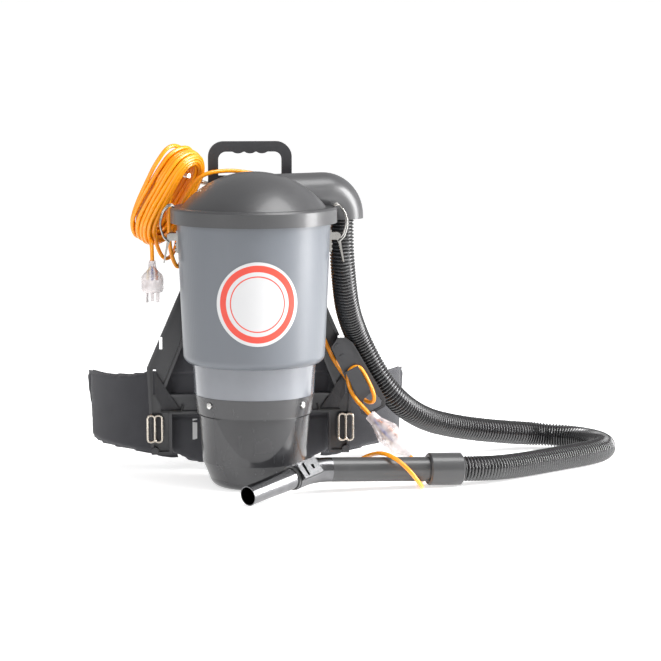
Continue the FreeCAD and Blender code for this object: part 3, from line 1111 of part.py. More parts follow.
def make_handpiece():
    """The bent handpiece, its regulator, the dark collar ring and the metal tube that tools push on."""
    path = grip_path()
    grip = tube_along(path, GRIP_R)
    centre, axis, across, out = regulator_frame()
    seat = GRIP_R + 1.5
    half = REGULATOR_W / 2
    boss = local_block(vec(-REGULATOR_L / 2 - REGULATOR_TRAVEL / 2 - 3, -half - 3, 0),
                       vec(REGULATOR_L / 2 + REGULATOR_TRAVEL / 2 + 3, half + 3, seat + REGULATOR_T),
                       centre, axis, across, out)
    track = local_block(vec(-REGULATOR_L / 2 - REGULATOR_TRAVEL / 2, -half - FIT_GAP, seat - FIT_GAP),
                        vec(REGULATOR_L / 2 + REGULATOR_TRAVEL / 2, half + FIT_GAP, seat + 5),
                        centre, axis, across, out)
    port = local_block(vec(-4, -4, 0), vec(4, 4, seat + 1), centre, axis, across, out)
    bore = tube_along(path, GRIP_R - GRIP_WALL)
    tip_start = TIP_MOUTH - axis * (TIP_L + TIP_INSERT)
    tip_hole = rod(tip_start, TIP_MOUTH - axis * (TIP_L - 1), TIP_BASE_R)
    whole = grip.fuse(boss).cut(bore).cut([track, port, tip_hole])
    parting = CUFF_START + GRIP_AXIS * GRIP_SLEEVE_END
    sleeve_side = rod(parting, CUFF_START, CUFF_R * 2)
    spigot_end = parting - GRIP_AXIS * BEND_SPIGOT
    spigot_r = GRIP_R - GRIP_WALL / 2
    spigot = rod(spigot_end, parting, spigot_r).cut(rod(spigot_end, parting, GRIP_R - GRIP_WALL))
    save("handpiece", whole.common(sleeve_side).cut(rod(spigot_end, parting, spigot_r)))
    save("metal_bend", whole.cut(sleeve_side).fuse(spigot))

    slide = local_block(vec(-REGULATOR_L / 2, -half, seat), vec(REGULATOR_L / 2, half, seat + REGULATOR_T),
                        centre, axis, across, out)
    window = local_block(vec(-4, -4, seat - 1), vec(4, 4, seat + 9), centre, axis, across, out)
    park = axis * (-REGULATOR_TRAVEL / 2 + FIT_GAP)
    save("regulator_slide", slide.cut(window).translated(park))

    ring_start = TIP_MOUTH - axis * TIP_L
    collar = rod(ring_start, ring_start + axis * COLLAR_RING_L, GRIP_R - 1).cut(
        rod(ring_start, ring_start + axis * COLLAR_RING_L, TIP_BASE_R))
    save("tip_collar", collar)

    taper_l = TIP_L - TIP_END_L
    tube = rod(tip_start, TIP_MOUTH - axis * TIP_L, TIP_BASE_R)
    cone = Part.makeCone(TIP_BASE_R, TIP_END_R, taper_l, TIP_MOUTH - axis * TIP_L, axis)
    end = rod(TIP_MOUTH - axis * TIP_END_L, TIP_MOUTH, TIP_END_R)
    hollow = rod(tip_start, TIP_MOUTH - axis * TIP_L, TIP_BASE_R - TIP_WALL)
    inner_r = TIP_END_R - TIP_WALL
    hollow_cone = Part.makeCone(TIP_BASE_R - TIP_WALL, inner_r, taper_l, TIP_MOUTH - axis * TIP_L, axis)
    hollow_end = rod(TIP_MOUTH - axis * TIP_END_L, TIP_MOUTH, inner_r)
    save("tip_tube", tube.fuse([cone, end]).cut(hollow.fuse([hollow_cone, hollow_end])).removeSplitter())


def make_cords(gland_end):
    """The hose, the extension lead with its coil and tail, and the machine's own flex."""
    mouth_x = DUCT_MOUTH_REACH * math.cos(DUCT_ANGLE)
    mouth_y = DUCT_MOUTH_REACH * math.sin(DUCT_ANGLE)
    hose_start = [(mouth_x, mouth_y, DUCT_MOUTH_Z + 12), (mouth_x, mouth_y, DUCT_MOUTH_Z - 32)]
    hose_route = hose_start + HOSE_ROUTE[2:]
    save("hose", cord(hose_route, HOSE_R, "hose", HOSE_BORE_R))
    save("lead_run", cord(LEAD_ROUTE, LEAD_R, "lead run"))
    save("lead_tail", cord(TAIL_ROUTE, LEAD_R, "lead tail"))
    save("lead_coil", coil_solid())
    route = [(gland_end.x, gland_end.y, gland_end.z)] + FLEX_ROUTE[1:]
    save("machine_flex", cord(route, LEAD_R, "machine flex"))


def main():
    os.makedirs("parts", exist_ok=True)
    make_tank()
    make_lid()
    make_filter()
    make_badge()
    make_housing()
    make_switch()
    make_motor()
    make_latch("right", lambda shape: shape)
    make_latch("left", mirrored)
    make_frame()
    make_saddles()
    make_handle()
    make_webbing(make_padding())
    make_tag()
    make_retainer()
    make_lead_hook()
    make_plug()
    make_coupling()
    make_hose_fittings()
    make_handpiece()
    make_cords(make_gland())


main()
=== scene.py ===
"""Backpack vacuum cleaner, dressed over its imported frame: cords, padding, webbing and finishes."""

import json
import logging
import math
from collections.abc import Callable, Iterator, Sequence
from contextlib import contextmanager
from dataclasses import dataclass
from enum import Enum

import bmesh
import bpy
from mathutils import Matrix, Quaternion, Vector


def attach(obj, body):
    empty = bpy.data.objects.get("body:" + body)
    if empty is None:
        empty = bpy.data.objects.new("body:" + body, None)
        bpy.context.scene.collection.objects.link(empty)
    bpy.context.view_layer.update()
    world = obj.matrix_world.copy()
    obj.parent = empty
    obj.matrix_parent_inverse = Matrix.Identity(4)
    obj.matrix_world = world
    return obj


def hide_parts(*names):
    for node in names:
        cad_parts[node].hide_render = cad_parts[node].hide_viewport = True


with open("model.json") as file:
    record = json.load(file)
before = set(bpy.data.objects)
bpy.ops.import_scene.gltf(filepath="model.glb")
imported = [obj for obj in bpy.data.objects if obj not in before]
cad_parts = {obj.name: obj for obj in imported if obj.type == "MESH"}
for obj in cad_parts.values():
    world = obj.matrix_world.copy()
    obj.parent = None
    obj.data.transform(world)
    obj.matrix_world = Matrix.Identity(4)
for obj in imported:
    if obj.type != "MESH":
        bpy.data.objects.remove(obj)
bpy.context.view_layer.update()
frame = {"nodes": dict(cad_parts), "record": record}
LOG = logging.getLogger("vacuum")
UP = Vector((0.0, 0.0, 1.0))
ACROSS = Vector((1.0, 0.0, 0.0))


def millimetres(points: Sequence[Sequence[float]]) -> list[Vector]:
    """Points given in millimetres, as vectors in metres."""
    return [Vector(point) / 1000.0 for point in points]


def hand(side: int) -> str:
    """The word for a side: 1 is right, -1 is left."""
    return "right" if side > 0 else "left"


def distances(line: Sequence[Vector]) -> list[float]:
    """Distance walked along a line at each of its points.

    Args:
        line: the points.

    Returns:
        One distance for each point, from 0 at the first.
    """
    walked = [0.0]
    for before, after in zip(line, line[1:]):
        walked.append(walked[-1] + (after - before).length)
    return walked


class Pattern(Enum):
    """Where a pattern on a surface is measured from."""

    OBJECT = "Object"
    CHART = "UV"


def feed(tree: bpy.types.NodeTree, socket: bpy.types.NodeSocket, item: object) -> None:
    """Give a socket what it is to have.

    Args:
        tree: the node tree that the socket is in.
        socket: the input.
        item: a Value or a socket to link, or a number or colour to set.
    """
    source = item.socket if isinstance(item, Value) else item
    if isinstance(source, bpy.types.NodeSocket):
        tree.links.new(source, socket)
    elif socket.type == "RGBA":
        socket.default_value = (*source[:3], 1.0)
    else:
        socket.default_value = source


def add_node(tree: bpy.types.NodeTree, kind: str, settings: dict[str, object] | None = None,
             inputs: dict[str | int, object] | None = None) -> bpy.types.Node:
    """Add a node.

    Args:
        tree: the node tree that takes it.
        kind: the node's type.
        settings: attributes that are set first.
        inputs: socket names or numbers, with what each is fed.

    Returns:
        The new node.
    """
    node = tree.nodes.new(kind)
    for key, setting in (settings or {}).items():
        setattr(node, key, setting)
    for key, item in (inputs or {}).items():
        feed(tree, node.inputs[key], item)
    return node


class Value:
    """A number that changes over a surface: a socket whose operators add Math nodes."""

    def __init__(self, tree: bpy.types.NodeTree, socket: bpy.types.NodeSocket) -> None:
        """Wrap one output socket of a node tree."""
        self.tree = tree
        self.socket = socket

    def math(self, operation: str, *others: "Value | float") -> "Value":
        """Add one Math node.

        Args:
            operation: the Math node's operation.
            others: its other inputs, as values or numbers.

        Returns:
            The node's result.
        """
        inputs = dict(enumerate((self, *others)))
        node = add_node(self.tree, "ShaderNodeMath", {"operation": operation}, inputs)
        return Value(self.tree, node.outputs[0])

    def __add__(self, other: "Value | float") -> "Value":
        """Sum."""
        return self.math("ADD", other)

    __radd__ = __add__

    def __mul__(self, other: "Value | float") -> "Value":
        """Product."""
        return self.math("MULTIPLY", other)

    __rmul__ = __mul__

    def __sub__(self, other: "Value | float") -> "Value":
        """Difference."""
        return self.math("SUBTRACT", other)

    def __rsub__(self, other: float) -> "Value":
        """Difference from a number."""
        return (self * -1.0) + other

    def __truediv__(self, other: "Value | float") -> "Value":
        """Quotient."""
        return self.math("DIVIDE", other)

    def power(self, exponent: float) -> "Value":
        """This value to a power."""
        return self.math("POWER", exponent)

    def wave(self) -> "Value":
        """Sine of this value, moved to between 0 and 1."""
        return self.math("SINE") * 0.5 + 0.5

    def absolute(self) -> "Value":
        """Size without sign."""
        return self.math("ABSOLUTE")

    def over(self, low: float, high: float) -> "Value":
        """A smooth step from 0 to 1.

        Args:
            low: where it leaves 0.
            high: where it reaches 1.

        Returns:
            The step.
        """
        node = add_node(self.tree, "ShaderNodeMapRange", {"interpolation_type": "SMOOTHSTEP"},
                        {"From Min": low, "From Max": high, "Value": self})
        return Value(self.tree, node.outputs["Result"])

    def band(self, middle: float, half: float, soft: float) -> "Value":
        """1 within half of the middle, and 0 beyond it by soft."""
        return 1.0 - (self - middle).absolute().over(half, half + soft)


class Surface:
    """One material's node tree."""

    MIX_SHARE = 0
    MIX_FIRST = 6
    MIX_SECOND = 7
    MIX_RESULT = 2

    def __init__(self, name: str, pattern: Pattern = Pattern.OBJECT) -> None:
        """Start a material.

        Args:
            name: the material's name.
            pattern: whether its patterns read Object coordinates or the piece's own chart.
        """
        self.material = bpy.data.materials.new(name)
        self.material.use_nodes = True
        self.tree = self.material.node_tree
        self.tree.nodes.clear()
        output = add_node(self.tree, "ShaderNodeOutputMaterial")
        self.shader = add_node(self.tree, "ShaderNodeBsdfPrincipled")
        feed(self.tree, output.inputs[0], self.shader.outputs[0])
        self.coordinates = add_node(self.tree, "ShaderNodeTexCoord").outputs[pattern.value]

    def along(self, name: str) -> Value:
        """One coordinate, X, Y or Z, in metres."""
        node = add_node(self.tree, "ShaderNodeSeparateXYZ", inputs={0: self.coordinates})
        return Value(self.tree, node.outputs[name])

    def attribute(self, name: str) -> Value:
        """A number stored on the piece's points."""
        node = add_node(self.tree, "ShaderNodeAttribute", {"attribute_name": name})
        return Value(self.tree, node.outputs["Fac"])

    def noise(self, size: float, detail: float = 3.0, stretch: Sequence[float] = (1, 1, 1)) -> Value:
        """Soft random variation.

        Args:
            size: width of one patch in metres.
            detail: how many finer layers it has.
            stretch: how much each axis is squeezed.

        Returns:
            The variation, around 0.5.
        """
        place = add_node(self.tree, "ShaderNodeMapping", inputs={
            "Vector": self.coordinates, "Scale": tuple(stretch)})
        node = add_node(self.tree, "ShaderNodeTexNoise", inputs={
            "Vector": place.outputs[0], "Scale": 1.0 / size, "Detail": detail})
        return Value(self.tree, node.outputs[0])

    def mixed(self, share: Value, first: Sequence[float] | bpy.types.NodeSocket,
              second: Sequence[float] | bpy.types.NodeSocket) -> bpy.types.NodeSocket:
        """Two colours mixed by a share.

        Args:
            share: 0 for the first colour, 1 for the second.
            first: a colour or a colour socket.
            second: a colour or a colour socket.

        Returns:
            The mixed colour's socket.
        """
        node = add_node(self.tree, "ShaderNodeMix", {"data_type": "RGBA"}, {
            self.MIX_SHARE: share, self.MIX_FIRST: first, self.MIX_SECOND: second})
        return node.outputs[self.MIX_RESULT]

    def paint(self, **sockets: object) -> None:
        """Set sockets of the shader by name, with underscores for spaces."""
        for key, item in sockets.items():
            feed(self.tree, self.shader.inputs[key.replace("_", " ")], item)

    def raise_by(self, height: Value, depth: float) -> None:
        """Feed a height to the shader's normal.

        Args:
            height: the height, from 0 to 1.
            depth: how many metres a height of 1 is.
        """
        node = add_node(self.tree, "ShaderNodeBump", inputs={
            "Height": height, "Distance": depth, "Strength": 1.0})
        feed(self.tree, self.shader.inputs["Normal"], node.outputs[0])


@dataclass(frozen=True)
class MouldedPlastic:
    """Injection-moulded plastic with a fine grain, faint dust and handling marks."""

    name: str
    colour: tuple[float, float, float]
    roughness: float = 0.42
    grain: float = 0.0009
    depth: float = 0.00006
    coat: float = 0.0
    lift: float = 1.5

    def build(self) -> bpy.types.Material:
        """Build the finish.

        Returns:
            The finished material.
        """
        surface = Surface(self.name)
        patches = surface.noise(0.05, 4.0)
        grain = surface.noise(self.grain, 2.0)
        marks = surface.noise(0.012, 5.0, (1.0, 1.0, 0.25)).over(0.58, 0.78)
        lighter = tuple(min(1.0, part * self.lift) for part in self.colour)
        surface.paint(
            Base_Color=surface.mixed(patches * 0.5 + marks * 0.25, self.colour, lighter),
            Roughness=self.roughness + (patches - 0.5) * 0.14 + marks * 0.1, Coat_Weight=self.coat,
            Coat_Roughness=0.12)
        surface.raise_by(grain, self.depth)
        return surface.material


@dataclass(frozen=True)
class TankPlastic:
    """Smooth grey tank moulding with faint upright ribs at its sides, their crests painted lighter as a
    highlight, clearer and glossier in its band.
    """

    name: str
    colour: tuple[float, float, float] = (0.108, 0.118, 0.134)
    band_colour: tuple[float, float, float] = (0.170, 0.180, 0.202)
    band_top: float = 0.203

    def build(self) -> bpy.types.Material:
        """Build the finish.

        Returns:
            The finished material.
        """
        surface = Surface(self.name)
        height = surface.along("Z")
        band = 1.0 - height.over(self.band_top - 0.001, self.band_top + 0.002)
        turn = surface.along("Y").math("ARCTAN2", surface.along("X"))
        flow = surface.noise(0.05, 3.0, (1.0, 1.0, 0.2))
        speck = surface.noise(0.0009, 2.0)
        sides = (turn + math.pi / 2).absolute().over(0.75, 1.15)
        # ribs: real upright relief at the tank's sides, fed to the bump; in the colour their crests are also
        # a painted highlight
        ribs = (turn * 150.0).wave() * sides
        cloudy = surface.noise(0.022, 2.0)
        # the clear band is drawn darker towards its top edge, from 150 mm up to 203 mm
        depth = height.over(0.150, 0.203)
        lighter = tuple(part * 1.16 for part in self.colour)
        darker = tuple(part * 0.68 for part in self.band_colour)
        # the ribs' share here paints a highlight on the rib crests; flow and speck are random tone
        wall = surface.mixed(flow * 0.6 + speck * 0.25 + ribs * 0.25, self.colour, lighter)
        clear = surface.mixed(depth * 0.55 + cloudy * 0.3, self.band_colour, darker)
        surface.paint(
            Base_Color=surface.mixed(band, wall, clear),
            Roughness=0.36 + (flow - 0.5) * 0.08 - band * 0.2 + (speck - 0.5) * 0.06,
            Coat_Weight=0.2 + band * 0.5, Coat_Roughness=0.12)
        surface.raise_by(ribs * (1.0 - band) * 0.5 + speck * 0.2 + cloudy * band * 0.5, 0.00016)
        return surface.material


@dataclass(frozen=True)
class BareMetal:
    """Bright metal with fine drawn lines and faint smears."""

    name: str
    colour: tuple[float, float, float]
    roughness: float = 0.25
    lines: tuple[float, float, float] = (1.0, 1.0, 0.05)
    depth: float = 0.00002

    def build(self) -> bpy.types.Material:
        """Build the finish.

        Returns:
            The finished material.
        """
        surface = Surface(self.name)
        drawn = surface.noise(0.0008, 3.0, self.lines)
        smear = surface.noise(0.02, 4.0)
        darker = tuple(part * 0.72 for part in self.colour)
        surface.paint(
            Base_Color=surface.mixed(smear.over(0.3, 0.75) * 0.6 + drawn * 0.2, self.colour, darker),
            Metallic=1.0, Roughness=self.roughness + (drawn - 0.5) * 0.1 + (smear - 0.5) * 0.12)
        surface.raise_by(drawn, self.depth)
        return surface.material


@dataclass(frozen=True)
class SpacerMesh:
    """Dark knitted mesh over foam: fine upright ribs, small open cells, stitched lines."""

    name: str
    colour: tuple[float, float, float] = (0.022, 0.022, 0.026)
    thread: tuple[float, float, float] = (0.062, 0.062, 0.070)
    rib: float = 0.0017
    cell: float = 0.0013

    def build(self) -> bpy.types.Material:
        """Build the finish.

        Returns:
            The finished material.
        """
        surface = Surface(self.name, Pattern.CHART)
        along = surface.along("X")
        up = surface.along("Y")
        ribs = (along * (2 * math.pi / self.rib)).wave()
        cells = (up * (2 * math.pi / self.cell) + (along * (math.pi / self.rib)).wave() * 3.0).wave()
        knit = ribs.power(0.6) * (cells * 0.4 + 0.6)
        worn = surface.noise(0.035, 4.0)
        seam = surface.attribute("seam")
        stitch = seam * (along * (2 * math.pi / 0.0042) + up * (2 * math.pi / 0.0042)).wave().over(0.35, 0.6)
        cloth = surface.mixed(knit * 0.55 + worn * 0.45, self.colour, self.thread)
        surface.paint(
            Base_Color=surface.mixed(stitch, cloth, (0.10, 0.10, 0.108)),
            Roughness=0.95 - knit * 0.12, Sheen_Weight=0.35, Sheen_Roughness=0.4)
        surface.raise_by(knit * 0.7 + stitch * 0.6, 0.0004)
        return surface.material


@dataclass(frozen=True)
class WovenTape:
    """Woven webbing or a label: ribs across, a plain edge, small colour change."""

    name: str
    colour: tuple[float, float, float] = (0.018, 0.018, 0.02)
    thread: tuple[float, float, float] = (0.06, 0.06, 0.065)
    rib: float = 0.0018

    def build(self) -> bpy.types.Material:
        """Build the finish.

        Returns:
            The finished material.
        """
        surface = Surface(self.name, Pattern.CHART)
        along = surface.along("X")
        side = surface.along("Y")
        slant = (side * (2 * math.pi / 0.0062)).wave() * 2.2
        weave = (along * (2 * math.pi / self.rib) + slant).wave()
        warp = (side * (2 * math.pi / 0.0015)).wave()
        worn = surface.noise(0.02, 4.0)
        height = weave * 0.65 + warp * 0.35
        surface.paint(
            Base_Color=surface.mixed(height * 0.7 + worn * 0.3, self.colour, self.thread),
            Roughness=0.82 - height * 0.15, Sheen_Weight=0.2, Sheen_Roughness=0.5)
        surface.raise_by(height, 0.0003)
        return surface.material


@dataclass(frozen=True)
class CordSkin:
    """Flexible cord or hose skin with soft sheen, dust and rubbed patches."""

    name: str
    colour: tuple[float, float, float]
    worn: tuple[float, float, float]
    roughness: float = 0.4
    coat: float = 0.1

    def build(self) -> bpy.types.Material:
        """Build the finish.

        Returns:
            The finished material.
        """
        surface = Surface(self.name)
        dust = surface.noise(0.03, 5.0)
        fine = surface.noise(0.0011, 2.0)
        surface.paint(
            Base_Color=surface.mixed(dust.over(0.42, 0.8) * 0.7 + fine * 0.1, self.colour, self.worn),
            Roughness=self.roughness + (dust - 0.5) * 0.2, Coat_Weight=self.coat, Coat_Roughness=0.2)
        surface.raise_by(fine * 0.6 + dust * 0.4, 0.0001)
        return surface.material


@dataclass(frozen=True)
class ClearPlastic:
    """Milky clear plug moulding with a faint pink cast that shows its wires."""

    name: str
    colour: tuple[float, float, float] = (0.62, 0.54, 0.54)
    cover: float = 0.40

    def build(self) -> bpy.types.Material:
        """Build the finish.

        Returns:
            The finished material.
        """
        surface = Surface(self.name)
        cloudy = surface.noise(0.014, 1.0)
        fine = surface.noise(0.004, 1.0)
        surface.paint(
            Base_Color=surface.mixed(cloudy.over(0.35, 0.7), self.colour, (0.80, 0.74, 0.74)),
            Roughness=0.10 + cloudy * 0.1, Alpha=cloudy.over(0.35, 0.65) * 0.25 + self.cover,
            Coat_Weight=0.8, Coat_Roughness=0.05)
        surface.raise_by(fine * 0.4 + cloudy * 0.6, 0.00025)
        return surface.material


@dataclass(frozen=True)
class BadgePrint:
    """White film disc, wrapped to the tank's wall and printed with plain orange-red rings."""

    name: str
    centre_z: float = 0.312
    radius: float = 0.068
    wall: float = 0.1225

    def build(self) -> bpy.types.Material:
        """Build the finish.

        Returns:
            The finished material.
        """
        surface = Surface(self.name)
        rise = surface.along("Z") - self.centre_z
        turn = surface.along("X").math("ARCTAN2", surface.along("Y") * -1.0)
        side = turn * self.wall
        reach = (rise * rise + side * side).math("SQRT") / self.radius
        rings = reach.band(0.845, 0.075, 0.006).math("MAXIMUM", reach.band(0.655, 0.012, 0.006))
        gloss = surface.noise(0.03, 4.0)
        ink = surface.mixed(gloss, (0.66, 0.042, 0.016), (0.58, 0.034, 0.013))
        film = surface.mixed(gloss, (0.52, 0.52, 0.53), (0.56, 0.56, 0.56))
        surface.paint(
            Base_Color=surface.mixed(rings, film, ink),
            Roughness=0.28 + gloss * 0.1, Coat_Weight=0.4, Coat_Roughness=0.1)
        surface.raise_by(gloss, 0.00008)
        return surface.material


class Finish:
    """The finishes by the record's slot names."""

    def __init__(self) -> None:
        """Build every finish once."""
        finishes = (
            TankPlastic("tank_grey"),
            MouldedPlastic("lid_grey", (0.046, 0.046, 0.048), 0.35, 0.0013, 0.0001, 0.15),
            MouldedPlastic("black_rubber", (0.014, 0.014, 0.014), 0.62, 0.002),
            CordSkin("filter_cloth", (0.66, 0.65, 0.61), (0.45, 0.43, 0.39), 0.9),
            MouldedPlastic("ring_plastic", (0.05, 0.05, 0.05)),
            BadgePrint("badge_white"),
            MouldedPlastic("housing_black", (0.024, 0.024, 0.026), 0.26, 0.0013, 0.00008, 0.35),
            BareMetal("screw_steel", (0.78, 0.77, 0.75), 0.28),
            MouldedPlastic("rocker_black", (0.012, 0.012, 0.012), 0.2),
            BareMetal("motor_iron", (0.30, 0.26, 0.23), 0.5),
            BareMetal("shaft_steel", (0.62, 0.62, 0.63), 0.2),
            BareMetal("impeller_alloy", (0.78, 0.78, 0.80), 0.3),
            BareMetal("latch_steel", (0.42, 0.41, 0.39), 0.2),
            MouldedPlastic("frame_black", (0.022, 0.022, 0.025), 0.34, 0.0014, 0.0001, 0.2),
            BareMetal("ring_steel", (0.66, 0.60, 0.52), 0.28),
            MouldedPlastic("cuff_black", (0.036, 0.036, 0.037), 0.34, 0.0011, coat=0.25),
            BareMetal("tip_chrome", (0.17, 0.17, 0.175), 0.22, (0.2, 0.2, 1.0)),
            CordSkin("lead_orange", (0.95, 0.335, 0.004), (0.86, 0.265, 0.004), 0.28, 0.4),
            ClearPlastic("plug_clear"),
            SpacerMesh("pad_fabric"),
            WovenTape("webbing_black"),
            WovenTape("tag_white", (0.56, 0.56, 0.56), (0.72, 0.72, 0.72), 0.0012),
            CordSkin("hose_black", (0.018, 0.018, 0.019), (0.026, 0.026, 0.026), 0.20, 0.8),
        )
        self.by_slot: dict[str, bpy.types.Material] = {finish.name: finish.build() for finish in finishes}

    def dress(self, piece: bpy.types.Object, slot: str) -> None:
        """Give a piece the finish of a slot."""
        piece.data.materials.clear()
        piece.data.materials.append(self.by_slot[slot])

    def dress_frame(self) -> None:
        """Give every node of the frame its slot's finish."""
        for part in frame["record"]["subparts"]:
            self.dress(frame["nodes"][part["node"]], part["material_slot"])


class Bench:
    """The modelling steps that the pieces share."""

    @staticmethod
    def clear() -> None:
        """Deselect everything."""
        bpy.ops.object.select_all(action="DESELECT")

    @staticmethod
    def pick(piece: bpy.types.Object) -> None:
        """Make one piece the only selected and the active one.

        Args:
            piece: the piece.
        """
        Bench.clear()
        piece.select_set(True)
        bpy.context.view_layer.objects.active = piece

    @staticmethod
    def named(name: str) -> bpy.types.Object:
        """Name the newly added primitive and bake its place into its mesh.

        Args:
            name: the piece's name.

        Returns:
            The piece.
        """
        piece = bpy.context.active_object
        piece.name = name
        piece.data.name = name
        bpy.ops.object.transform_apply(location=True, rotation=True, scale=True)
        return piece

    @staticmethod
    def block(name: str, low: Sequence[float], high: Sequence[float]) -> bpy.types.Object:
        """A cube primitive between two corners.

        Args:
            name: the piece's name.
            low: its lowest corner in metres.
            high: its highest corner in metres.

        Returns:
            The piece.
        """
        Bench.clear()
        low_corner, high_corner = Vector(low), Vector(high)
        bpy.ops.mesh.primitive_cube_add(size=1.0, location=(low_corner + high_corner) / 2)
        bpy.context.active_object.scale = high_corner - low_corner
        return Bench.named(name)

    @staticmethod
    def bar(name: str, start: Vector, end: Vector, radius: float, sides: int = 24) -> bpy.types.Object:
        """A cylinder primitive between two points.

        Args:
            name: the piece's name.
            start: the middle of one end, in metres.
            end: the middle of the other end, in metres.
            radius: its radius in metres.
            sides: how many sides it has.

        Returns:
            The piece.
        """
        Bench.clear()
        turn = (end - start).to_track_quat("Z", "Y").to_euler()
        bpy.ops.mesh.primitive_cylinder_add(
            vertices=sides, radius=radius, depth=(end - start).length,
            location=(start + end) / 2, rotation=turn)
        return Bench.named(name)

    @staticmethod
    @contextmanager
    def editing(piece: bpy.types.Object) -> Iterator[bmesh.types.BMesh]:
        """Edit mode on a piece.

        Args:
            piece: the piece to edit.

        Yields:
            Its mesh, to select in.
        """
        Bench.pick(piece)
        bpy.ops.object.mode_set(mode="EDIT")
        bpy.ops.mesh.select_mode(type="FACE")
        yield bmesh.from_edit_mesh(piece.data)
        bpy.ops.object.mode_set(mode="OBJECT")

    @staticmethod
    def choose(piece: bpy.types.Object, mesh: bmesh.types.BMesh,
               test: Callable[[Vector, Vector], bool]) -> None:
        """Select faces by their place.

        Args:
            piece: the piece in edit mode.
            mesh: its mesh.
            test: whether a face with this centre and normal is selected.
        """
        for face in mesh.faces:
            face.select_set(test(face.calc_center_median(), face.normal))
        bmesh.update_edit_mesh(piece.data)

    @staticmethod
    def apply(piece: bpy.types.Object, kind: str, **settings: object) -> None:
        """Add a modifier and apply it.

        Args:
            piece: the piece that gets it.
            kind: the modifier's type.
            settings: its settings by name.
        """
        Bench.pick(piece)
        modifier = piece.modifiers.new(kind.title(), kind)
        for key, setting in settings.items():
            setattr(modifier, key, setting)
        bpy.ops.object.modifier_apply(modifier=modifier.name)

    @staticmethod
    def smooth(piece: bpy.types.Object, angle: float = 35.0) -> None:
        """Shade a piece smooth, with sharp edges past an angle in degrees."""
        Bench.pick(piece)
        bpy.ops.object.shade_smooth_by_angle(angle=math.radians(angle))

    @staticmethod
    def copy(piece: bpy.types.Object, name: str, move: Callable[[Vector], Vector]) -> bpy.types.Object:
        """A copy with its own mesh, each point moved.

        Args:
            piece: what to copy.
            name: the copy's name.
            move: where each point goes.

        Returns:
            The copy.
        """
        twin = piece.copy()
        twin.data = piece.data.copy()
        twin.name = name
        bpy.context.scene.collection.objects.link(twin)
        for point in twin.data.vertices:
            point.co = move(point.co)
        twin.data.update()
        return twin

    @staticmethod
    def join(pieces: list[bpy.types.Object], name: str) -> bpy.types.Object:
        """Join pieces into one.

        Args:
            pieces: what is joined, the first of which stays.
            name: the joined piece's name.

        Returns:
            The joined piece.
        """
        Bench.clear()
        for piece in pieces:
            piece.select_set(True)
        bpy.context.view_layer.objects.active = pieces[0]
        bpy.ops.object.join()
        pieces[0].name = name
        return pieces[0]

    @staticmethod
    def sheet(piece: bpy.types.Object, cuts: int, thickness: float, move: Callable[[Vector], Vector]) -> None:
        """Make a plane primitive a thin shaped sheet.

        Args:
            piece: the plane.
            cuts: how often it is cut each way.
            thickness: its thickness in metres.
            move: where each point goes.
        """
        with Bench.editing(piece):
            bpy.ops.mesh.select_all(action="SELECT")
            bpy.ops.mesh.subdivide(number_cuts=cuts)
        for point in piece.data.vertices:
            point.co = move(point.co)
        with Bench.editing(piece):
            bpy.ops.mesh.select_all(action="SELECT")
            bpy.ops.mesh.normals_make_consistent(inside=False)
        Bench.apply(piece, "SOLIDIFY", thickness=thickness, offset=0.0)

    @staticmethod
    def chart(piece: bpy.types.Object, place: Callable[[Vector], tuple[float, float]]) -> None:
        """Give a piece its own map.

        Args:
            piece: the piece.
            place: where a point lies on the map, in metres.
        """
        layer = piece.data.uv_layers.get("chart") or piece.data.uv_layers.new(name="chart")
        places = [place(point.co) for point in piece.data.vertices]
        for loop in piece.data.loops:
            layer.data[loop.index].uv = places[loop.vertex_index]
        piece.data.uv_layers.active = layer

    @staticmethod
    def settle(piece: bpy.types.Object, finish: Finish, slot: str, body: str, *nodes: str) -> None:
        """Dress a piece and give it its body.

        Args:
            piece: the piece.
            finish: the finishes.
            slot: the slot whose finish it has.
            body: the body that it rides on.
            nodes: the nodes that it stands for.
        """
        finish.dress(piece, slot)
        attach(piece, body)
        if nodes:
            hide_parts(*nodes)
        LOG.info("%s rides on %s", piece.name, body)


@dataclass
class Route:
    """A cord's line: given points in metres and its radius."""

    name: str
    points: list[Vector]
    radius: float

    def curve(self, bevel: bool = True) -> bpy.types.Object:
        """The cord as a curve of one open spline.

        Args:
            bevel: whether it has its thickness, or is only a line.

        Returns:
            The curve object.
        """
        data = bpy.data.curves.new(self.name, "CURVE")
        data.dimensions = "3D"
        spline = data.splines.new("NURBS")
        spline.points.add(len(self.points) - 1)
        for point, place in zip(spline.points, self.points):
            point.co = (*place, 1.0)
        spline.order_u = 3
        spline.use_endpoint_u = True
        spline.resolution_u = 8
        if bevel:
            data.bevel_depth = self.radius
            data.bevel_resolution = 4
            data.use_fill_caps = True
        piece = bpy.data.objects.new(self.name, data)
        bpy.context.scene.collection.objects.link(piece)
        return piece

    def line(self) -> list[Vector]:
        """The cord's own smooth line.

        Returns:
            Close points read from it.
        """
        piece = self.curve(bevel=False)
        piece.data.splines[0].resolution_u = 24
        bpy.context.view_layer.update()
        shape = piece.evaluated_get(bpy.context.evaluated_depsgraph_get())
        mesh = bpy.data.meshes.new_from_object(shape)
        line = [point.co.copy() for point in mesh.vertices]
        bpy.data.objects.remove(piece)
        bpy.data.meshes.remove(mesh)
        return line

    def length(self) -> float:
        """Length of the cord's own smooth line, in metres."""
        return distances(self.line())[-1]


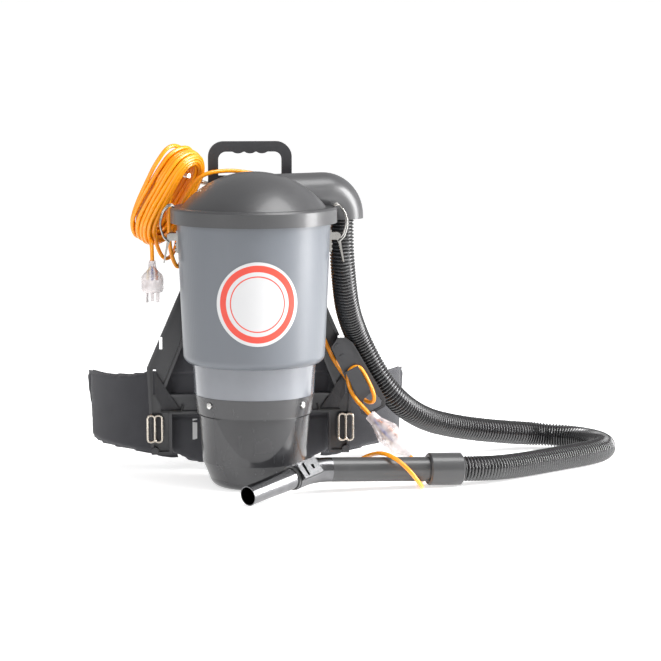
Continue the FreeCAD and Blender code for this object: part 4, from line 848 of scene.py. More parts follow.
@dataclass
class CorrugatedHose:
    """The black hose: a spiral-look corrugated tube from the duct's mouth to the handpiece's cuff."""

    radius: float = 0.021
    valley: float = 0.0034
    pitch: float = 0.0056
    play: float = 0.0002
    crest_power: float = 0.7
    sides: int = 32
    steps: int = 6
    soft_angle: float = 80.0

    ROUTE = (
        (148.8, 64.1, 446.0), (148.8, 64.1, 402.0), (150.2, 67.0, 362.0), (156.0, 84.0, 311.0),
        (163.0, 106.0, 273.0), (178.0, 131.0, 233.0), (197.0, 140.0, 194.0), (219.0, 144.0, 154.0),
        (247.0, 154.0, 117.5), (278.0, 178.0, 90.0), (313.0, 207.0, 69.0), (353.0, 238.0, 55.0),
        (397.0, 262.0, 44.0), (462.0, 290.0, 33.0), (522.0, 316.0, 25.0), (589.0, 291.5, 21.5),
        (624.0, 229.0, 21.0), (610.0, 159.0, 21.0), (519.0, 86.0, 21.0), (436.0, 17.0, 21.5),
        (377.2, -28.1, 25.8), (326.24, -38.38, 28.02),
    )

    def stations(self, line: list[Vector]) -> list[tuple[Vector, float]]:
        """Evenly spaced places along the line.

        Args:
            line: close points on the hose's line.

        Returns:
            Each place with its distance from the start.
        """
        gap = self.pitch / self.steps
        places = [(line[0], 0.0)]
        walked, target = 0.0, gap
        for before, after in zip(line, line[1:]):
            span = (after - before).length
            while walked + span >= target and span > 0:
                places.append((before.lerp(after, (target - walked) / span), target))
                target += gap
            walked += span
        return places

    def build(self, finish: Finish) -> bpy.types.Object:
        """Args:
            finish: the finishes.

        Returns:
            The hose.
        """
        line = Route("hose_line", millimetres(self.ROUTE), self.radius).line()
        places = self.stations(line)
        mesh = bmesh.new()
        side = ACROSS.copy()
        rings = []
        for index, (place, walked) in enumerate(places):
            ahead = places[min(index + 1, len(places) - 1)][0]
            behind = places[max(index - 1, 0)][0]
            heading = (ahead - behind).normalized()
            side = (side - heading * side.dot(heading)).normalized()
            across = heading.cross(side)
            crest = 0.5 + 0.5 * math.cos(2 * math.pi * walked / self.pitch)
            radius = self.radius - self.play - self.valley * (1 - crest ** self.crest_power)
            ring = []
            for number in range(self.sides):
                angle = 2 * math.pi * number / self.sides
                out = side * math.cos(angle) + across * math.sin(angle)
                ring.append(mesh.verts.new(place + out * radius))
            rings.append(ring)
        for near, far in zip(rings, rings[1:]):
            for number in range(self.sides):
                after = (number + 1) % self.sides
                mesh.faces.new((near[number], near[after], far[after], far[number]))
        mesh.faces.new(list(reversed(rings[0])))
        mesh.faces.new(rings[-1])
        data = bpy.data.meshes.new("corrugated_hose")
        mesh.to_mesh(data)
        mesh.free()
        piece = bpy.data.objects.new("corrugated_hose", data)
        bpy.context.scene.collection.objects.link(piece)
        Bench.smooth(piece, self.soft_angle)
        Bench.settle(piece, finish, "hose_black", "canister", "hose")
        path = [place for place, _ in places]
        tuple(path[0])
        2 * self.radius
        return piece


@dataclass
class ExtensionLead:
    """The orange extension lead: down to the retainer, and hung in a coil behind the lid's left side."""

    radius: float = 0.0035
    turns: int = 26
    half_run: float = 0.045
    turn_radius: float = 0.0318
    bundle: float = 0.0196
    spacing: float = 0.0074
    loose: float = 0.0330
    first_share: float = 0.02
    first_swing: float = 1.64
    spread: float = 1.03
    gather: float = 0.12
    deeper: float = 1.12
    closer: float = 0.8
    lean: float = 0.05
    lean_pace: float = 2.3
    last_points: int = 5

    CENTRE = (-0.1345, 0.1005, 0.4690)
    AXIS = (0.49, 0.03, 0.871)
    FACE = (0.717, -0.582, -0.3835)
    SIDE_RUNS = (0.72, 0.24, -0.24, -0.72)
    END_ANGLES = (150, 90, 30)
    SLACK = {9: (0.040, 0.004, -0.040), 16: (0.034, 0.012, -0.058)}
    RUN = (
        (198.0, 75.0, 101.0), (188.0, 84.0, 112.0), (176.5, 96.0, 123.0), (167.0, 102.0, 139.0),
        (162.0, 102.0, 157.0), (163.3, 102.0, 170.9), (172.0, 102.0, 179.2), (182.9, 102.0, 178.7),
        (190.5, 102.0, 168.0), (200.0, 102.0, 149.0), (207.5, 102.0, 131.0), (207.0, 109.0, 117.0),
        (196.0, 120.0, 116.0), (179.0, 125.0, 134.0), (162.0, 126.0, 157.0), (142.0, 126.0, 185.0),
        (126.0, 127.0, 219.0), (112.0, 129.0, 257.0), (101.0, 130.0, 300.0), (95.0, 131.0, 348.0),
        (90.0, 128.0, 398.0), (83.0, 120.0, 446.0), (60.0, 112.5, 483.0), (22.0, 108.0, 503.0),
        (-25.0, 105.5, 511.0), (-50.0, 98.0, 510.5), (-72.0, 91.5, 508.0), (-91.0, 92.0, 497.0),
        (-107.0, 93.0, 473.0), (-118.0, 101.0, 454.0), (-126.0, 112.0, 440.0),
    )
    TAIL = (
        (-168.0, 92.0, 412.0), (-168.0, 76.0, 399.0), (-165.0, 57.0, 390.0), (-165.0, 57.0, 366.0),
    )

    def coil(self) -> list[Vector]:
        """Points of the hung coil, turn by turn, from the bundle's middle outwards.

        The turns are held close over the peg, fan out below it and lean a little over one another.
        Two hang lower behind the tank, and one of the last stands off on the outer side.

        Returns:
            The points, in metres.
        """
        centre = Vector(self.CENTRE)
        axis = Vector(self.AXIS).normalized()
        face = Vector(self.FACE).normalized()
        across = face.cross(axis).normalized()
        shape = [(-1, run, 0.0) for run in self.SIDE_RUNS]
        shape += [(0, -1, angle) for angle in self.END_ANGLES]
        shape += [(1, -run, 0.0) for run in self.SIDE_RUNS]
        shape += [(0, 1, angle) for angle in reversed(self.END_ANGLES)]
        points = []
        total = self.turns * len(shape) + self.last_points
        for index in range(len(shape) // 3, total):
            side, run, degrees = shape[index % len(shape)]
            if side:
                normal, along, turned = across * side, run * self.half_run, float(side)
            else:
                angle = math.radians(degrees)
                normal = across * math.cos(angle) + axis * (run * math.sin(angle))
                along, turned = run * self.half_run, math.cos(angle)
            share = math.sqrt(self.first_share + (1 - self.first_share) * index / total)
            swing = 2 * math.pi * share * self.bundle / self.spacing + self.first_swing
            height = (along + axis.dot(normal) * self.turn_radius) / (self.half_run + self.turn_radius)
            reach = self.bundle * share * (self.spread - self.gather * height)
            out, forward = reach * math.cos(swing), self.deeper * reach * math.sin(swing)
            out *= self.closer if out < 0 else 1.0
            turn = index // len(shape)
            if turn == self.turns - 3 and turned > 0:
                out += (self.loose - out) * turned ** 0.5 * (0.5 + 0.5 * height)
            place = axis * along + normal * (self.turn_radius + out) + face * forward
            lean = self.lean * math.sin(index / len(shape) * self.lean_pace)
            drop = Vector(self.SLACK.get(turn, (0.0, 0.0, 0.0))) * max(0.0, -height)
            points.append(centre + Quaternion(face, lean) @ place + drop)
        return points

    def build(self, finish: Finish) -> bpy.types.Object:
        """Args:
            finish: the finishes.

        Returns:
            The lead.
        """
        points = millimetres(self.RUN) + self.coil() + millimetres(self.TAIL)
        route = Route("extension_lead", points, self.radius)
        piece = route.curve()
        length = route.length()
        Bench.settle(piece, finish, "lead_orange", "canister", "lead_run", "lead_coil", "lead_tail")
        2 * self.radius
        LOG.info("lead length %.2f m", length)
        return piece


@dataclass
class MachineFlex:
    """The machine's own short orange flex, over the handpiece and under it to the in-line plug."""

    radius: float = 0.0035

    ROUTE = (
        (117.0, 29.0, 32.0), (136.0, 33.0, 28.0), (155.0, 20.0, 28.0), (171.0, -5.0, 38.0),
        (188.0, -34.0, 53.0), (208.0, -63.0, 61.0), (230.0, -88.0, 52.0), (249.0, -99.0, 34.0),
        (263.0, -93.0, 15.0), (270.0, -76.0, 4.5), (269.0, -52.0, 3.6), (269.0, -29.0, 3.6),
        (277.0, -8.0, 3.7), (283.0, 13.0, 7.0), (279.0, 30.7, 18.7), (262.0, 40.0, 36.0),
    )

    def build(self, finish: Finish) -> bpy.types.Object:
        """Args:
            finish: the finishes.

        Returns:
            The flex.
        """
        route = Route("orange_flex", millimetres(self.ROUTE), self.radius)
        piece = route.curve()
        length = route.length()
        Bench.settle(piece, finish, "lead_orange", "canister", "machine_flex")
        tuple(route.points[0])
        2 * self.radius
        return piece


@dataclass
class Padding:
    """A padded panel: a crowned shell over a curved middle surface, puffed by cloth, with sewn lines."""

    name: str
    nodes: tuple[str, ...]
    middle: Callable[[float, float], tuple[Vector, Vector]]
    thickness: float
    chart: Callable[[Vector], tuple[float, float]]
    seams: tuple[Callable[[float, float], float], ...]
    cap: float = 0.004
    voxel: float = 0.0036
    cuts: int = 30
    room: float = 0.003
    edge_drop: float = 0.25
    edge_power: int = 10
    pressure: float = 4.0
    frames: int = 20
    seam_depth: float = 0.0022
    seam_width: float = 0.004
    stitch_width: float = 0.0012
    soft_angle: float = 70.0

    def shell(self) -> bpy.types.Object:
        """A subdivided cube primitive moved onto the panel's surface, thinner towards its edges.

        Returns:
            The shell.
        """
        piece = Bench.block(self.name, (-1, -1, -1), (1, 1, 1))
        with Bench.editing(piece):
            bpy.ops.mesh.select_all(action="SELECT")
            bpy.ops.mesh.subdivide(number_cuts=self.cuts)
        for point in piece.data.vertices:
            along, up, out = point.co
            place, normal = self.middle(along, up)
            crown = (1 - self.edge_drop * abs(along) ** self.edge_power)
            crown *= (1 - self.edge_drop * abs(up) ** self.edge_power)
            point.co = place + normal * (out * 0.5 * (self.thickness - self.room) * crown)
        with Bench.editing(piece):
            bpy.ops.mesh.select_all(action="SELECT")
            bpy.ops.mesh.normals_make_consistent(inside=False)
        return piece

    def puff(self, piece: bpy.types.Object) -> None:
        """Swell the shell as cloth, and hold each point within the cap.

        Args:
            piece: the shell.
        """
        Bench.apply(piece, "REMESH", mode="VOXEL", voxel_size=self.voxel)
        Bench.apply(piece, "SMOOTH", factor=0.5, iterations=4)
        Bench.pick(piece)
        before = [point.co.copy() for point in piece.data.vertices]
        cloth = piece.modifiers.new("Cloth", "CLOTH")
        cloth.settings.use_pressure = True
        cloth.settings.uniform_pressure_force = self.pressure
        cloth.settings.effector_weights.gravity = 0.0
        cloth.point_cache.frame_start = 1
        cloth.point_cache.frame_end = self.frames
        for number in range(1, self.frames + 1):
            bpy.context.scene.frame_set(number)
        bpy.ops.object.modifier_apply(modifier=cloth.name)
        bpy.context.scene.frame_set(1)
        for point, start in zip(piece.data.vertices, before):
            moved = point.co - start
            if moved.length > self.cap:
                point.co = start + moved * (self.cap / moved.length)
        Bench.apply(piece, "SUBSURF", levels=1, render_levels=1)

    def sew(self, piece: bpy.types.Object) -> None:
        """Draw the sewn lines in and mark them for the stitches.

        Args:
            piece: the panel.
        """
        mark = piece.data.attributes.new("seam", "FLOAT", "POINT")
        normals = [point.normal.copy() for point in piece.data.vertices]
        for index, point in enumerate(piece.data.vertices):
            along, up = self.chart(point.co)
            near = min(abs(seam(along, up)) for seam in self.seams)
            mark.data[index].value = math.exp(-((near / self.stitch_width) ** 2))
            sunk = math.exp(-((near / self.seam_width) ** 2))
            point.co = point.co - normals[index] * self.seam_depth * sunk

    def build(self, finish: Finish) -> None:
        """Args:
            finish: the finishes.
        """
        piece = self.shell()
        self.puff(piece)
        self.sew(piece)
        Bench.chart(piece, self.chart)
        Bench.smooth(piece, self.soft_angle)
        Bench.settle(piece, finish, "pad_fabric", "canister", *self.nodes)


@dataclass
class Harness:
    """The soft harness: back pad, belt wings and shoulder straps."""

    pad_front: float = 0.1548
    pad_thickness: float = 0.020
    pad_low: float = 0.006
    pad_top: float = 0.467
    pad_room: float = 0.002
    pad_hem: float = 0.012
    wing_thickness: float = 0.013
    wing_low: float = 0.0115
    wing_top: float = 0.1705
    wing_wave: float = 0.0016
    strap_middle: float = 0.042
    strap_half: float = 0.0235
    strap_thickness: float = 0.012

    CHANNELS = (0.09, 0.165, 0.24, 0.315, 0.39)
    WING_LINE = ((0.1185, 0.1826), (0.2059, 0.2211), (0.2712, 0.3028))
    STRAP_SEAMS = (0.018, 0.006)
    PAD_SIDES = ((470.0, 56.0), (306.0, 106.0), (181.0, 155.0), (26.0, 146.0), (11.0, 106.0), (3.0, 100.0))
    STRAP_LINE = (
        (181.5, 449.0), (212.0, 450.0), (237.0, 437.0), (249.0, 410.0), (253.0, 375.0), (252.0, 335.0),
        (246.0, 295.0), (235.0, 262.0), (219.0, 232.0), (203.0, 208.0),
    )

    def pad_half(self, height: float) -> float:
        """Half width of the back pad.

        Args:
            height: the height in metres.

        Returns:
            The half width there, in metres.
        """
        sides = self.PAD_SIDES
        z = height * 1000
        for (top, wide_top), (low, wide_low) in zip(sides, sides[1:]):
            if low <= z <= top:
                return (wide_low + (wide_top - wide_low) * (z - low) / (top - low)) / 1000
        return sides[-1][1] / 1000

    def pad(self) -> Padding:
        """The back pad with its sewn channels.

        Returns:
            The pad's padding.
        """
        low, top = self.pad_low, self.pad_top

        def middle(along: float, up: float) -> tuple[Vector, Vector]:
            """The pad's flat middle.

            Args:
                along: share across, from -1 to 1.
                up: share along the height, from -1 to 1.

            Returns:
                The place, and the heading out of the surface.
            """
            z = low + (top - low) * (up + 1) / 2
            x = along * (self.pad_half(z) - self.pad_room)
            return Vector((x, self.pad_front + self.pad_thickness / 2, z)), Vector((0, 1, 0))

        def border(along: float, up: float) -> float:
            """Distance to the sewn border."""
            return self.pad_half(min(max(up, low), top)) - abs(along) - self.pad_hem

        channels = tuple((lambda along, up, z=z: up - z) for z in self.CHANNELS)
        return Padding("pad_back", ("back_pad",), middle, self.pad_thickness,
                       lambda place: (place.x, place.z), (border, *channels),
                       cap=0.003, voxel=0.006, cuts=20)

    def wing(self, side: int) -> Padding:
        """One belt wing, curved round the waist.

        Args:
            side: 1 for the right wing, -1 for the left.

        Returns:
            The wing's padding.
        """
        start, bend, end = (Vector(place) for place in self.WING_LINE)
        chord_a, chord_b = bend - start, end - bend
        normal_a, normal_b = Vector((-chord_a.y, chord_a.x)), Vector((-chord_b.y, chord_b.x))
        mid_a, mid_b = (start + bend) / 2, (bend + end) / 2
        gap = mid_b - mid_a
        share = (gap.x * normal_b.y - gap.y * normal_b.x)
        share /= (normal_a.x * normal_b.y - normal_a.y * normal_b.x)
        centre = mid_a + normal_a * share
        radius = (start - centre).length
        first = math.atan2(start.y - centre.y, start.x - centre.x)
        last = math.atan2(end.y - centre.y, end.x - centre.x)

        def limits(share: float) -> tuple[float, float]:
            """The wing's lower and upper edge at a share of its length.

            Args:
                share: share of the wing's length, from 0 to 1.

            Returns:
                The two heights in metres.
            """
            wavy = self.wing_wave * math.sin(share * 9.0)
            low = self.wing_low + 0.0155 * share + 0.008 * share ** 12
            return low, self.wing_top - 0.0185 * share + wavy

        def middle(along: float, up: float) -> tuple[Vector, Vector]:
            """The wing's curved middle.

            Args:
                along: share of the wing's length, from -1 to 1.
                up: share of its height, from -1 to 1.

            Returns:
                The place, and the heading out of the surface.
            """
            share = (along + 1) / 2
            low, top = limits(share)
            z = low + (top - low) * (up + 1) / 2
            slant = 1.0 + share * (0.035 - 0.085 * (1 - up) / 2)
            angle = first + (last - first) * share * slant
            out = Vector((math.cos(angle), math.sin(angle), 0.0))
            place = Vector((centre.x, centre.y, z)) + out * radius
            return Vector((place.x * side, place.y, z)), Vector((out.x * side, out.y, 0.0))

        def chart(place: Vector) -> tuple[float, float]:
            """Distance along the wing and height."""
            angle = math.atan2(place.y - centre.y, place.x * side - centre.x)
            return abs(angle - first) * radius, place.z

        length = abs(last - first) * radius

        def top_band(along: float, up: float) -> float:
            """Distance to the line sewn below the top edge."""
            return limits(along / length)[1] - up - 0.006

        def low_band(along: float, up: float) -> float:
            """Distance to the line sewn above the lower edge."""
            return up - limits(along / length)[0] - 0.008

        def end_band(along: float, up: float) -> float:
            """Distance to the line sewn near the free end."""
            return length - along - 0.012

        return Padding("wing_" + hand(side), ("belt_wing_" + hand(side),), middle, self.wing_thickness,
                       chart, (top_band, low_band, end_band), cap=0.003)

    def strap(self, side: int) -> Padding:
        """One shoulder strap.

        Args:
            side: 1 for the right strap, -1 for the left.

        Returns:
            The strap's padding.
        """
        line = [Vector((y, z)) / 1000 for y, z in self.STRAP_LINE]
        walked = distances(line)

        def at(distance: float) -> tuple[Vector, Vector]:
            """Place and heading on the strap's side line.

            Args:
                distance: distance walked along the line, in metres.

            Returns:
                The place and the heading, as (y, z).
            """
            last = len(line) - 2
            index = next((number for number in range(last) if distance <= walked[number + 1]), last)
            share = (distance - walked[index]) / (walked[index + 1] - walked[index])
            near = (line[index + 1] - line[max(index - 1, 0)]).normalized()
            far = (line[min(index + 2, last + 1)] - line[index]).normalized()
            return line[index].lerp(line[index + 1], share), near.lerp(far, share).normalized()

        def middle(along: float, up: float) -> tuple[Vector, Vector]:
            """The strap's bowed middle.

            Args:
                along: share across the strap, from -1 to 1.
                up: share of its length, from -1 to 1.

            Returns:
                The place, and the heading out of the surface.
            """
            place, heading = at(walked[-1] * (up + 1) / 2)
            x = side * self.strap_middle + along * self.strap_half
            return Vector((x, place.x, place.y)), Vector((0.0, -heading.y, heading.x))

        def chart(place: Vector) -> tuple[float, float]:
            """Width across and distance along the strap.

            Args:
                place: a point of the strap.

            Returns:
                The two measures in metres.
            """
            spot = Vector((place.y, place.z))
            nearest = min(range(len(line)), key=lambda index: (line[index] - spot).length)
            heading = at(walked[nearest])[1]
            distance = walked[nearest] + (spot - line[nearest]).dot(heading)
            return place.x - side * self.strap_middle, distance

        seams = tuple((lambda along, up, x=x: abs(along) - x) for x in self.STRAP_SEAMS)
        return Padding("strap_" + hand(side), ("shoulder_strap_" + hand(side),), middle,
                       self.strap_thickness, chart, seams, cap=0.0025, voxel=0.004, cuts=16)

    def build(self, finish: Finish) -> None:
        """Build every padded piece.

        Args:
            finish: the finishes.
        """
        self.pad().build(finish)
        for side in (1, -1):
            self.wing(side).build(finish)
            self.strap(side).build(finish)


@dataclass
class Ribbon:
    """A flat tape that follows a bent line, the same width all along."""

    name: str
    line: list[Vector]
    across: Vector
    width: float
    thickness: float = 0.0018
    touch: float = 1e-6

    def build(self) -> bpy.types.Object:
        """Extrude the tape along its line and give it thickness, rounded edges and a map.

        Returns:
            The tape.
        """
        half = self.across.normalized() * (self.width / 2)
        Bench.clear()
        bpy.ops.mesh.primitive_plane_add(size=1.0)
        piece = Bench.named(self.name)
        corners = (self.line[0] - half, self.line[0] + half, self.line[1] - half, self.line[1] + half)
        for point, place in zip(sorted(piece.data.vertices, key=lambda v: (v.co.y, v.co.x)), corners):
            point.co = place
        for before, after in zip(self.line[1:], self.line[2:]):
            with Bench.editing(piece) as mesh:
                bpy.ops.mesh.select_mode(type="EDGE")
                ends = (before - half, before + half)
                for edge in mesh.edges:
                    edge.select_set(all(min((v.co - end).length for end in ends) < self.touch
                                        for v in edge.verts))
                bmesh.update_edit_mesh(piece.data)
                bpy.ops.mesh.extrude_region_move(TRANSFORM_OT_translate={"value": after - before})
        with Bench.editing(piece):
            bpy.ops.mesh.select_all(action="SELECT")
            bpy.ops.mesh.subdivide(number_cuts=2)
            bpy.ops.mesh.normals_make_consistent(inside=False)
        walked = distances(self.line)

        def place(spot: Vector) -> tuple[float, float]:
            """Distance along the tape and across it.

            Args:
                spot: a point of the tape.

            Returns:
                The two measures in metres.
            """
            best = (math.inf, 0.0)
            for index, (before, after) in enumerate(zip(self.line, self.line[1:])):
                step = after - before
                share = min(1.0, max(0.0, (spot - before).dot(step) / step.length_squared))
                flat = spot - (before + step * share)
                off = (flat - half.normalized() * flat.dot(half.normalized())).length
                best = min(best, (off, walked[index] + share * step.length))
            return best[1], (spot - self.line[0]).dot(half.normalized())

        Bench.apply(piece, "SOLIDIFY", thickness=self.thickness, offset=0.0)
        Bench.apply(piece, "SUBSURF", levels=1, render_levels=1)
        Bench.chart(piece, place)
        Bench.smooth(piece, 50.0)
        return piece


@dataclass
class Webbing:
    """Webbing of the harness: on the legs, below the shoulder straps and round the waist."""

    front: float = 0.138
    tape_width: float = 0.0375
    band_width: float = 0.037
    band_thickness: float = 0.0016
    band_height: float = 0.072
    strap_middle: float = 0.042
    waist_height: float = 0.084
    ripple: float = 0.0007
    ripple_pace: float = 260.0
    ripple_rest: float = 0.0004

    FOLD_CORNERS = ((0.120, 0.105), (0.149, 0.105), (0.163, 0.172), (0.161, 0.129))
    BAND_LINE = ((0.1455, 0.0), (0.152, -0.0003), (0.162, -0.0006), (0.1685, 0.0))
    DROP_LINE = (
        (0.2015, 0.2045), (0.1975, 0.195), (0.187, 0.174), (0.1795, 0.156), (0.1764, 0.1475),
        (0.1763, 0.142),
    )
    WAIST_LINE = (
        (0.2665, 0.3040), (0.2688, 0.3073), (0.2697, 0.3107), (0.2690, 0.3145), (0.2662, 0.3176),
        (0.2610, 0.3190), (0.2300, 0.3196), (0.1500, 0.3191), (0.0800, 0.3194), (0.0195, 0.3190),
    )

    def fold(self, name: str, side: int) -> bpy.types.Object:
        """The triangular fold of webbing from the leg's slot to its bar.

        Args:
            name: the piece's name.
            side: 1 for the right leg, -1 for the left.

        Returns:
            The fold.
        """
        Bench.clear()
        bpy.ops.mesh.primitive_plane_add(size=1.0)
        piece = Bench.named(name)
        spots = sorted(piece.data.vertices, key=lambda v: (v.co.y, v.co.x))
        for point, (x, z) in zip(spots, self.FOLD_CORNERS):
            point.co = Vector((x * side, self.front, z))

        def ripple(spot: Vector) -> Vector:
            """A point of the fold, moved a little to and fro."""
            wave = self.ripple * math.sin(spot.x * self.ripple_pace) - self.ripple_rest
            return Vector((spot.x, spot.y + wave, spot.z))

        Bench.sheet(piece, 7, self.band_thickness, ripple)
        Bench.chart(piece, lambda spot: (spot.z, spot.x))
        Bench.smooth(piece, 50.0)
        return piece

    def build(self, finish: Finish) -> None:
        """Build all the webbing.

        Args:
            finish: the finishes.
        """
        pieces = []
        for side in (1, -1):
            band = [Vector((x * side, self.front + bow, self.band_height)) for x, bow in self.BAND_LINE]
            pieces.append(Ribbon("band", band, UP, self.band_width, self.band_thickness).build())
            pieces.append(self.fold("fold", side))
            drop = [Vector((side * self.strap_middle, y, z)) for y, z in self.DROP_LINE]
            pieces.append(Ribbon("drop", drop, ACROSS, self.tape_width).build())
        harness = Bench.join(pieces, "harness_webbing")
        Bench.settle(harness, finish, "webbing_black", "canister", "strap_webbing")
        halves = []
        for side in (1, -1):
            line = [Vector((side * x, y, self.waist_height)) for x, y in self.WAIST_LINE]
            halves.append(Ribbon("waist_half", line, UP, self.tape_width).build())
        waist = Bench.join(halves, "waist_tape")
        Bench.settle(waist, finish, "webbing_black", "canister", "waist_webbing")


@dataclass
class SmallParts:
    """Slotted screws, the bare fabric tag, the filter bag and the plugs' insides."""

    screw_seat: float = 0.0969
    screw_height: float = 0.141
    head_rise: float = 0.0028
    head_radius: float = 0.0052
    head_rim: float = 0.0012
    head_dome: float = 0.0005
    edge_round: float = 0.0004
    tag_middle: float = -0.094
    tag_width: float = 0.0078
    tag_front: float = 0.1540
    tag_height: float = 0.068
    tag_length: float = 0.0356
    tag_thickness: float = 0.0005
    curl_depth: float = 0.0006
    curl_bend: float = 3.1
    bag_radius: float = 0.104
    bag_length: float = 0.218
    bag_middle: float = 0.3285
    bag_low: float = 0.2195
    bag_reach: float = 0.099
    bag_flare: float = 0.011
    bag_thickness: float = 0.0012
    fold_depth: float = 0.0022
    fold_count: int = 22
    fold_twist: float = 1.4
    core_start: float = 0.010

    SCREW_ANGLES = (-39.5, -140.5)
    SLOT = ((0.0014, -0.0075, 0.1402), (0.006, 0.0075, 0.1418))
    PLUG_LINES = (
        ((0.198, 0.075, 0.101), (0.262, 0.040, 0.036)),
        ((-0.165, 0.057, 0.366), (-0.165, 0.057, 0.314)),
    )
    CORE_SHARES = (0.32, 0.62)
    CORE_SPREADS = (0.0022, 0.008, 0.0085)
    CORE_RADII = (0.0016, 0.0024)

    def screws(self, finish: Finish) -> None:
        """Two slotted screws in the housing's collar.

        Args:
            finish: the finishes.
        """
        seat = self.screw_seat
        ends = (Vector((x, 0, self.screw_height)) for x in (seat, seat + self.head_rise))
        head = Bench.bar("screw_head", *ends, self.head_radius, 32)
        with Bench.editing(head) as mesh:
            Bench.choose(head, mesh, lambda centre, normal: normal.x > 0.9)
            bpy.ops.mesh.inset(thickness=self.head_rim)
            bpy.ops.transform.translate(value=(self.head_dome, 0, 0))
        Bench.apply(head, "BEVEL", width=self.edge_round, segments=2)
        slot = Bench.block("slot", *((seat + x, y, z) for x, y, z in self.SLOT))
        Bench.apply(head, "BOOLEAN", operation="DIFFERENCE", object=slot, solver="EXACT")
        bpy.data.objects.remove(slot)
        Bench.smooth(head, 30.0)
        pieces = []
        for number, azimuth in enumerate(self.SCREW_ANGLES):
            angle = math.radians(azimuth)

            def move(spot: Vector, angle: float = angle) -> Vector:
                """Turn a point about the canister's axis."""
                return Vector((spot.x * math.cos(angle) - spot.y * math.sin(angle),
                               spot.x * math.sin(angle) + spot.y * math.cos(angle), spot.z))

            pieces.append(Bench.copy(head, "slotted_screw_%d" % number, move))
        bpy.data.objects.remove(head)
        for number, piece in enumerate(pieces):
            nodes = ("housing_screws",) if number == 0 else ()
            Bench.settle(piece, finish, "screw_steel", "canister", *nodes)

    def tag(self, finish: Finish) -> None:
        """The bare woven tag, curled a little at its free edge.

        Args:
            finish: the finishes.
        """
        Bench.clear()
        bpy.ops.mesh.primitive_plane_add(size=1.0)
        piece = Bench.named("woven_tag")

        def curl(spot: Vector) -> Vector:
            """A point of the flat square, moved to its place on the curled tag.

            Args:
                spot: the point on the square.

            Returns:
                Its place on the tag.
            """
            bow = self.curl_depth * math.sin((spot.y + 0.5) * self.curl_bend)
            return Vector((self.tag_middle + spot.x * self.tag_width, self.tag_front - bow,
                           self.tag_height + spot.y * self.tag_length))

        Bench.sheet(piece, 9, self.tag_thickness, curl)
        Bench.chart(piece, lambda spot: (spot.z, spot.x))
        Bench.smooth(piece, 60.0)
        Bench.settle(piece, finish, "tag_white", "canister", "fabric_tag")

    def bag(self, finish: Finish) -> None:
        """The cloth filter bag with its soft upright folds.

        Args:
            finish: the finishes.
        """
        Bench.clear()
        bpy.ops.mesh.primitive_cylinder_add(
            vertices=96, radius=self.bag_radius, depth=self.bag_length, end_fill_type="NOTHING",
            location=(0, 0, self.bag_middle))
        piece = Bench.named("folded_bag")
        with Bench.editing(piece):
            bpy.ops.mesh.select_all(action="SELECT")
            bpy.ops.mesh.subdivide(number_cuts=3)
        for point in piece.data.vertices:
            angle = math.atan2(point.co.y, point.co.x)
            rise = (point.co.z - self.bag_low) / self.bag_length
            fold = self.fold_depth * math.sin(angle * self.fold_count + rise * self.fold_twist)
            reach = self.bag_reach + self.bag_flare * rise + fold * math.sin(math.pi * rise)
            point.co = Vector((reach * math.cos(angle), reach * math.sin(angle), point.co.z))
        Bench.apply(piece, "SOLIDIFY", thickness=self.bag_thickness, offset=0.0)
        Bench.smooth(piece, 60.0)
        Bench.settle(piece, finish, "filter_cloth", "canister", "filter_bag")

    def wires(self) -> None:
        """Coloured cores and brass contacts that show inside the clear plugs."""
        materials = (
            CordSkin("core_blue", (0.02, 0.09, 0.42), (0.03, 0.14, 0.5), 0.35).build(),
            CordSkin("core_orange", (0.85, 0.22, 0.02), (0.7, 0.2, 0.03), 0.35).build(),
            BareMetal("contact_brass", (0.80, 0.62, 0.30), 0.3).build(),
        )
        for number, places in enumerate(self.PLUG_LINES):
            start, end = (Vector(place) for place in places)
            heading = (end - start).normalized()
            side = heading.cross(UP if abs(heading.z) < 0.9 else ACROSS).normalized()
            up = side.cross(heading)
            reach = (end - start).length
            steps = [heading * self.core_start, *(heading * reach * share for share in self.CORE_SHARES)]
            for index, material in enumerate(materials):
                angle = 2 * math.pi * index / len(materials)
                spread = side * math.cos(angle) + up * math.sin(angle)
                knots = [start + step + spread * out for step, out in zip(steps, self.CORE_SPREADS)]
                pieces = [Bench.bar("core", near, far, radius, 12)
                          for near, far, radius in zip(knots, knots[1:], self.CORE_RADII)]
                for piece in pieces:
                    Bench.apply(piece, "BEVEL", width=self.edge_round, segments=2)
                    Bench.smooth(piece, 50.0)
                    piece.data.materials.append(material)
                core = Bench.join(pieces, "core_%d_%d" % (number, index))
                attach(core, "canister")

    def build(self, finish: Finish) -> None:
        """Build every small part.

        Args:
            finish: the finishes.
        """
        self.screws(finish)
        self.tag(finish)
        self.bag(finish)
        self.wires()


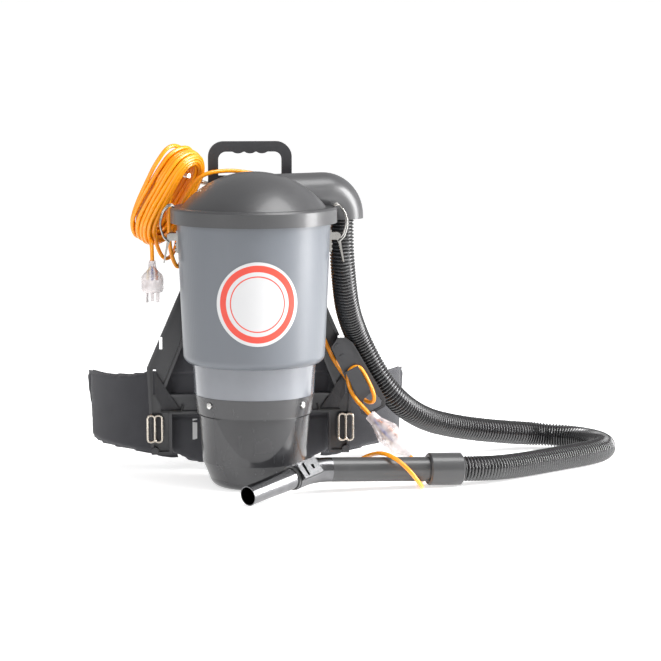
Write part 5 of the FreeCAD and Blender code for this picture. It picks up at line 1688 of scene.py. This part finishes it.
@dataclass
class Studio:
    """Camera, floor and soft lights."""

    lens: float = 144.1
    place: tuple[float, float, float] = (-0.2063, -4.295, 0.8)
    tilt: float = 7.22
    turn: float = 4.417
    sky: float = 0.5
    glow: float = 0.56
    floor_size: float = 600.0
    floor_height: float = -0.0005

    LIGHTS = (
        ("right_box", (2.5, -0.35, 1.0), (0, 0, 0.3), (1.0, 1.8), 120.0),
        ("left_box", (-2.2, -1.8, 1.5), (0, 0, 0.3), (0.7, 1.4), 20.0),
        ("top_box", (0.9, -0.5, 2.5), (0.1, 0, 0.2), (1.6, 1.2), 48.0),
    )

    def camera(self) -> None:
        """Place the camera at the photograph's angle."""
        data = bpy.data.cameras.new("camera")
        data.lens = self.lens
        data.sensor_width = 36.0
        data.clip_end = 1000.0
        camera = bpy.data.objects.new("camera", data)
        camera.location = self.place
        camera.rotation_euler = (math.radians(90 - self.tilt), 0.0, -math.radians(self.turn))
        bpy.context.scene.collection.objects.link(camera)
        bpy.context.scene.camera = camera

    def light(self, name: str, place: Sequence[float], aim: Sequence[float],
              size: tuple[float, float], power: float) -> None:
        """One soft area light.

        Args:
            name: the light's name.
            place: where it hangs.
            aim: the point that it faces.
            size: its width and height in metres.
            power: its power in watts.
        """
        data = bpy.data.lights.new(name, "AREA")
        data.shape = "RECTANGLE"
        data.size, data.size_y = size
        data.energy = power
        lamp = bpy.data.objects.new(name, data)
        lamp.location = place
        lamp.rotation_euler = (Vector(aim) - Vector(place)).to_track_quat("-Z", "Y").to_euler()
        bpy.context.scene.collection.objects.link(lamp)

    def build(self) -> None:
        """Make the floor, the lights and the sky."""
        Bench.clear()
        bpy.ops.mesh.primitive_plane_add(size=self.floor_size, location=(0, 0, self.floor_height))
        floor = Bench.named("floor")
        surface = Surface("floor_white")
        shade = surface.mixed(surface.noise(0.6, 2.0), (0.93, 0.93, 0.93), (0.95, 0.95, 0.95))
        surface.paint(Base_Color=shade, Roughness=0.6, Emission_Color=(1.0, 1.0, 1.0),
                      Emission_Strength=self.glow)
        floor.data.materials.append(surface.material)
        world = bpy.data.worlds.new("studio")
        world.use_nodes = True
        tree = world.node_tree
        background = tree.nodes["Background"]
        seen = add_node(tree, "ShaderNodeLightPath").outputs["Is Camera Ray"]
        strength = add_node(tree, "ShaderNodeMapRange", inputs={
            "Value": seen, "To Min": self.sky, "To Max": 1.0})
        feed(tree, background.inputs["Color"], (1.0, 1.0, 1.0))
        feed(tree, background.inputs["Strength"], strength.outputs["Result"])
        bpy.context.scene.world = world
        for settings in self.LIGHTS:
            self.light(*settings)
        bpy.context.scene.view_settings.view_transform = "Standard"


def main() -> None:
    """Build the scene in order."""
    logging.basicConfig(level=logging.INFO, format="%(message)s")
    studio = Studio()
    studio.camera()
    finish = Finish()
    finish.dress_frame()
    CorrugatedHose().build(finish)
    ExtensionLead().build(finish)
    MachineFlex().build(finish)
    Harness().build(finish)
    Webbing().build(finish)
    SmallParts().build(finish)
    studio.build()


if __name__ == "__main__":
    main()
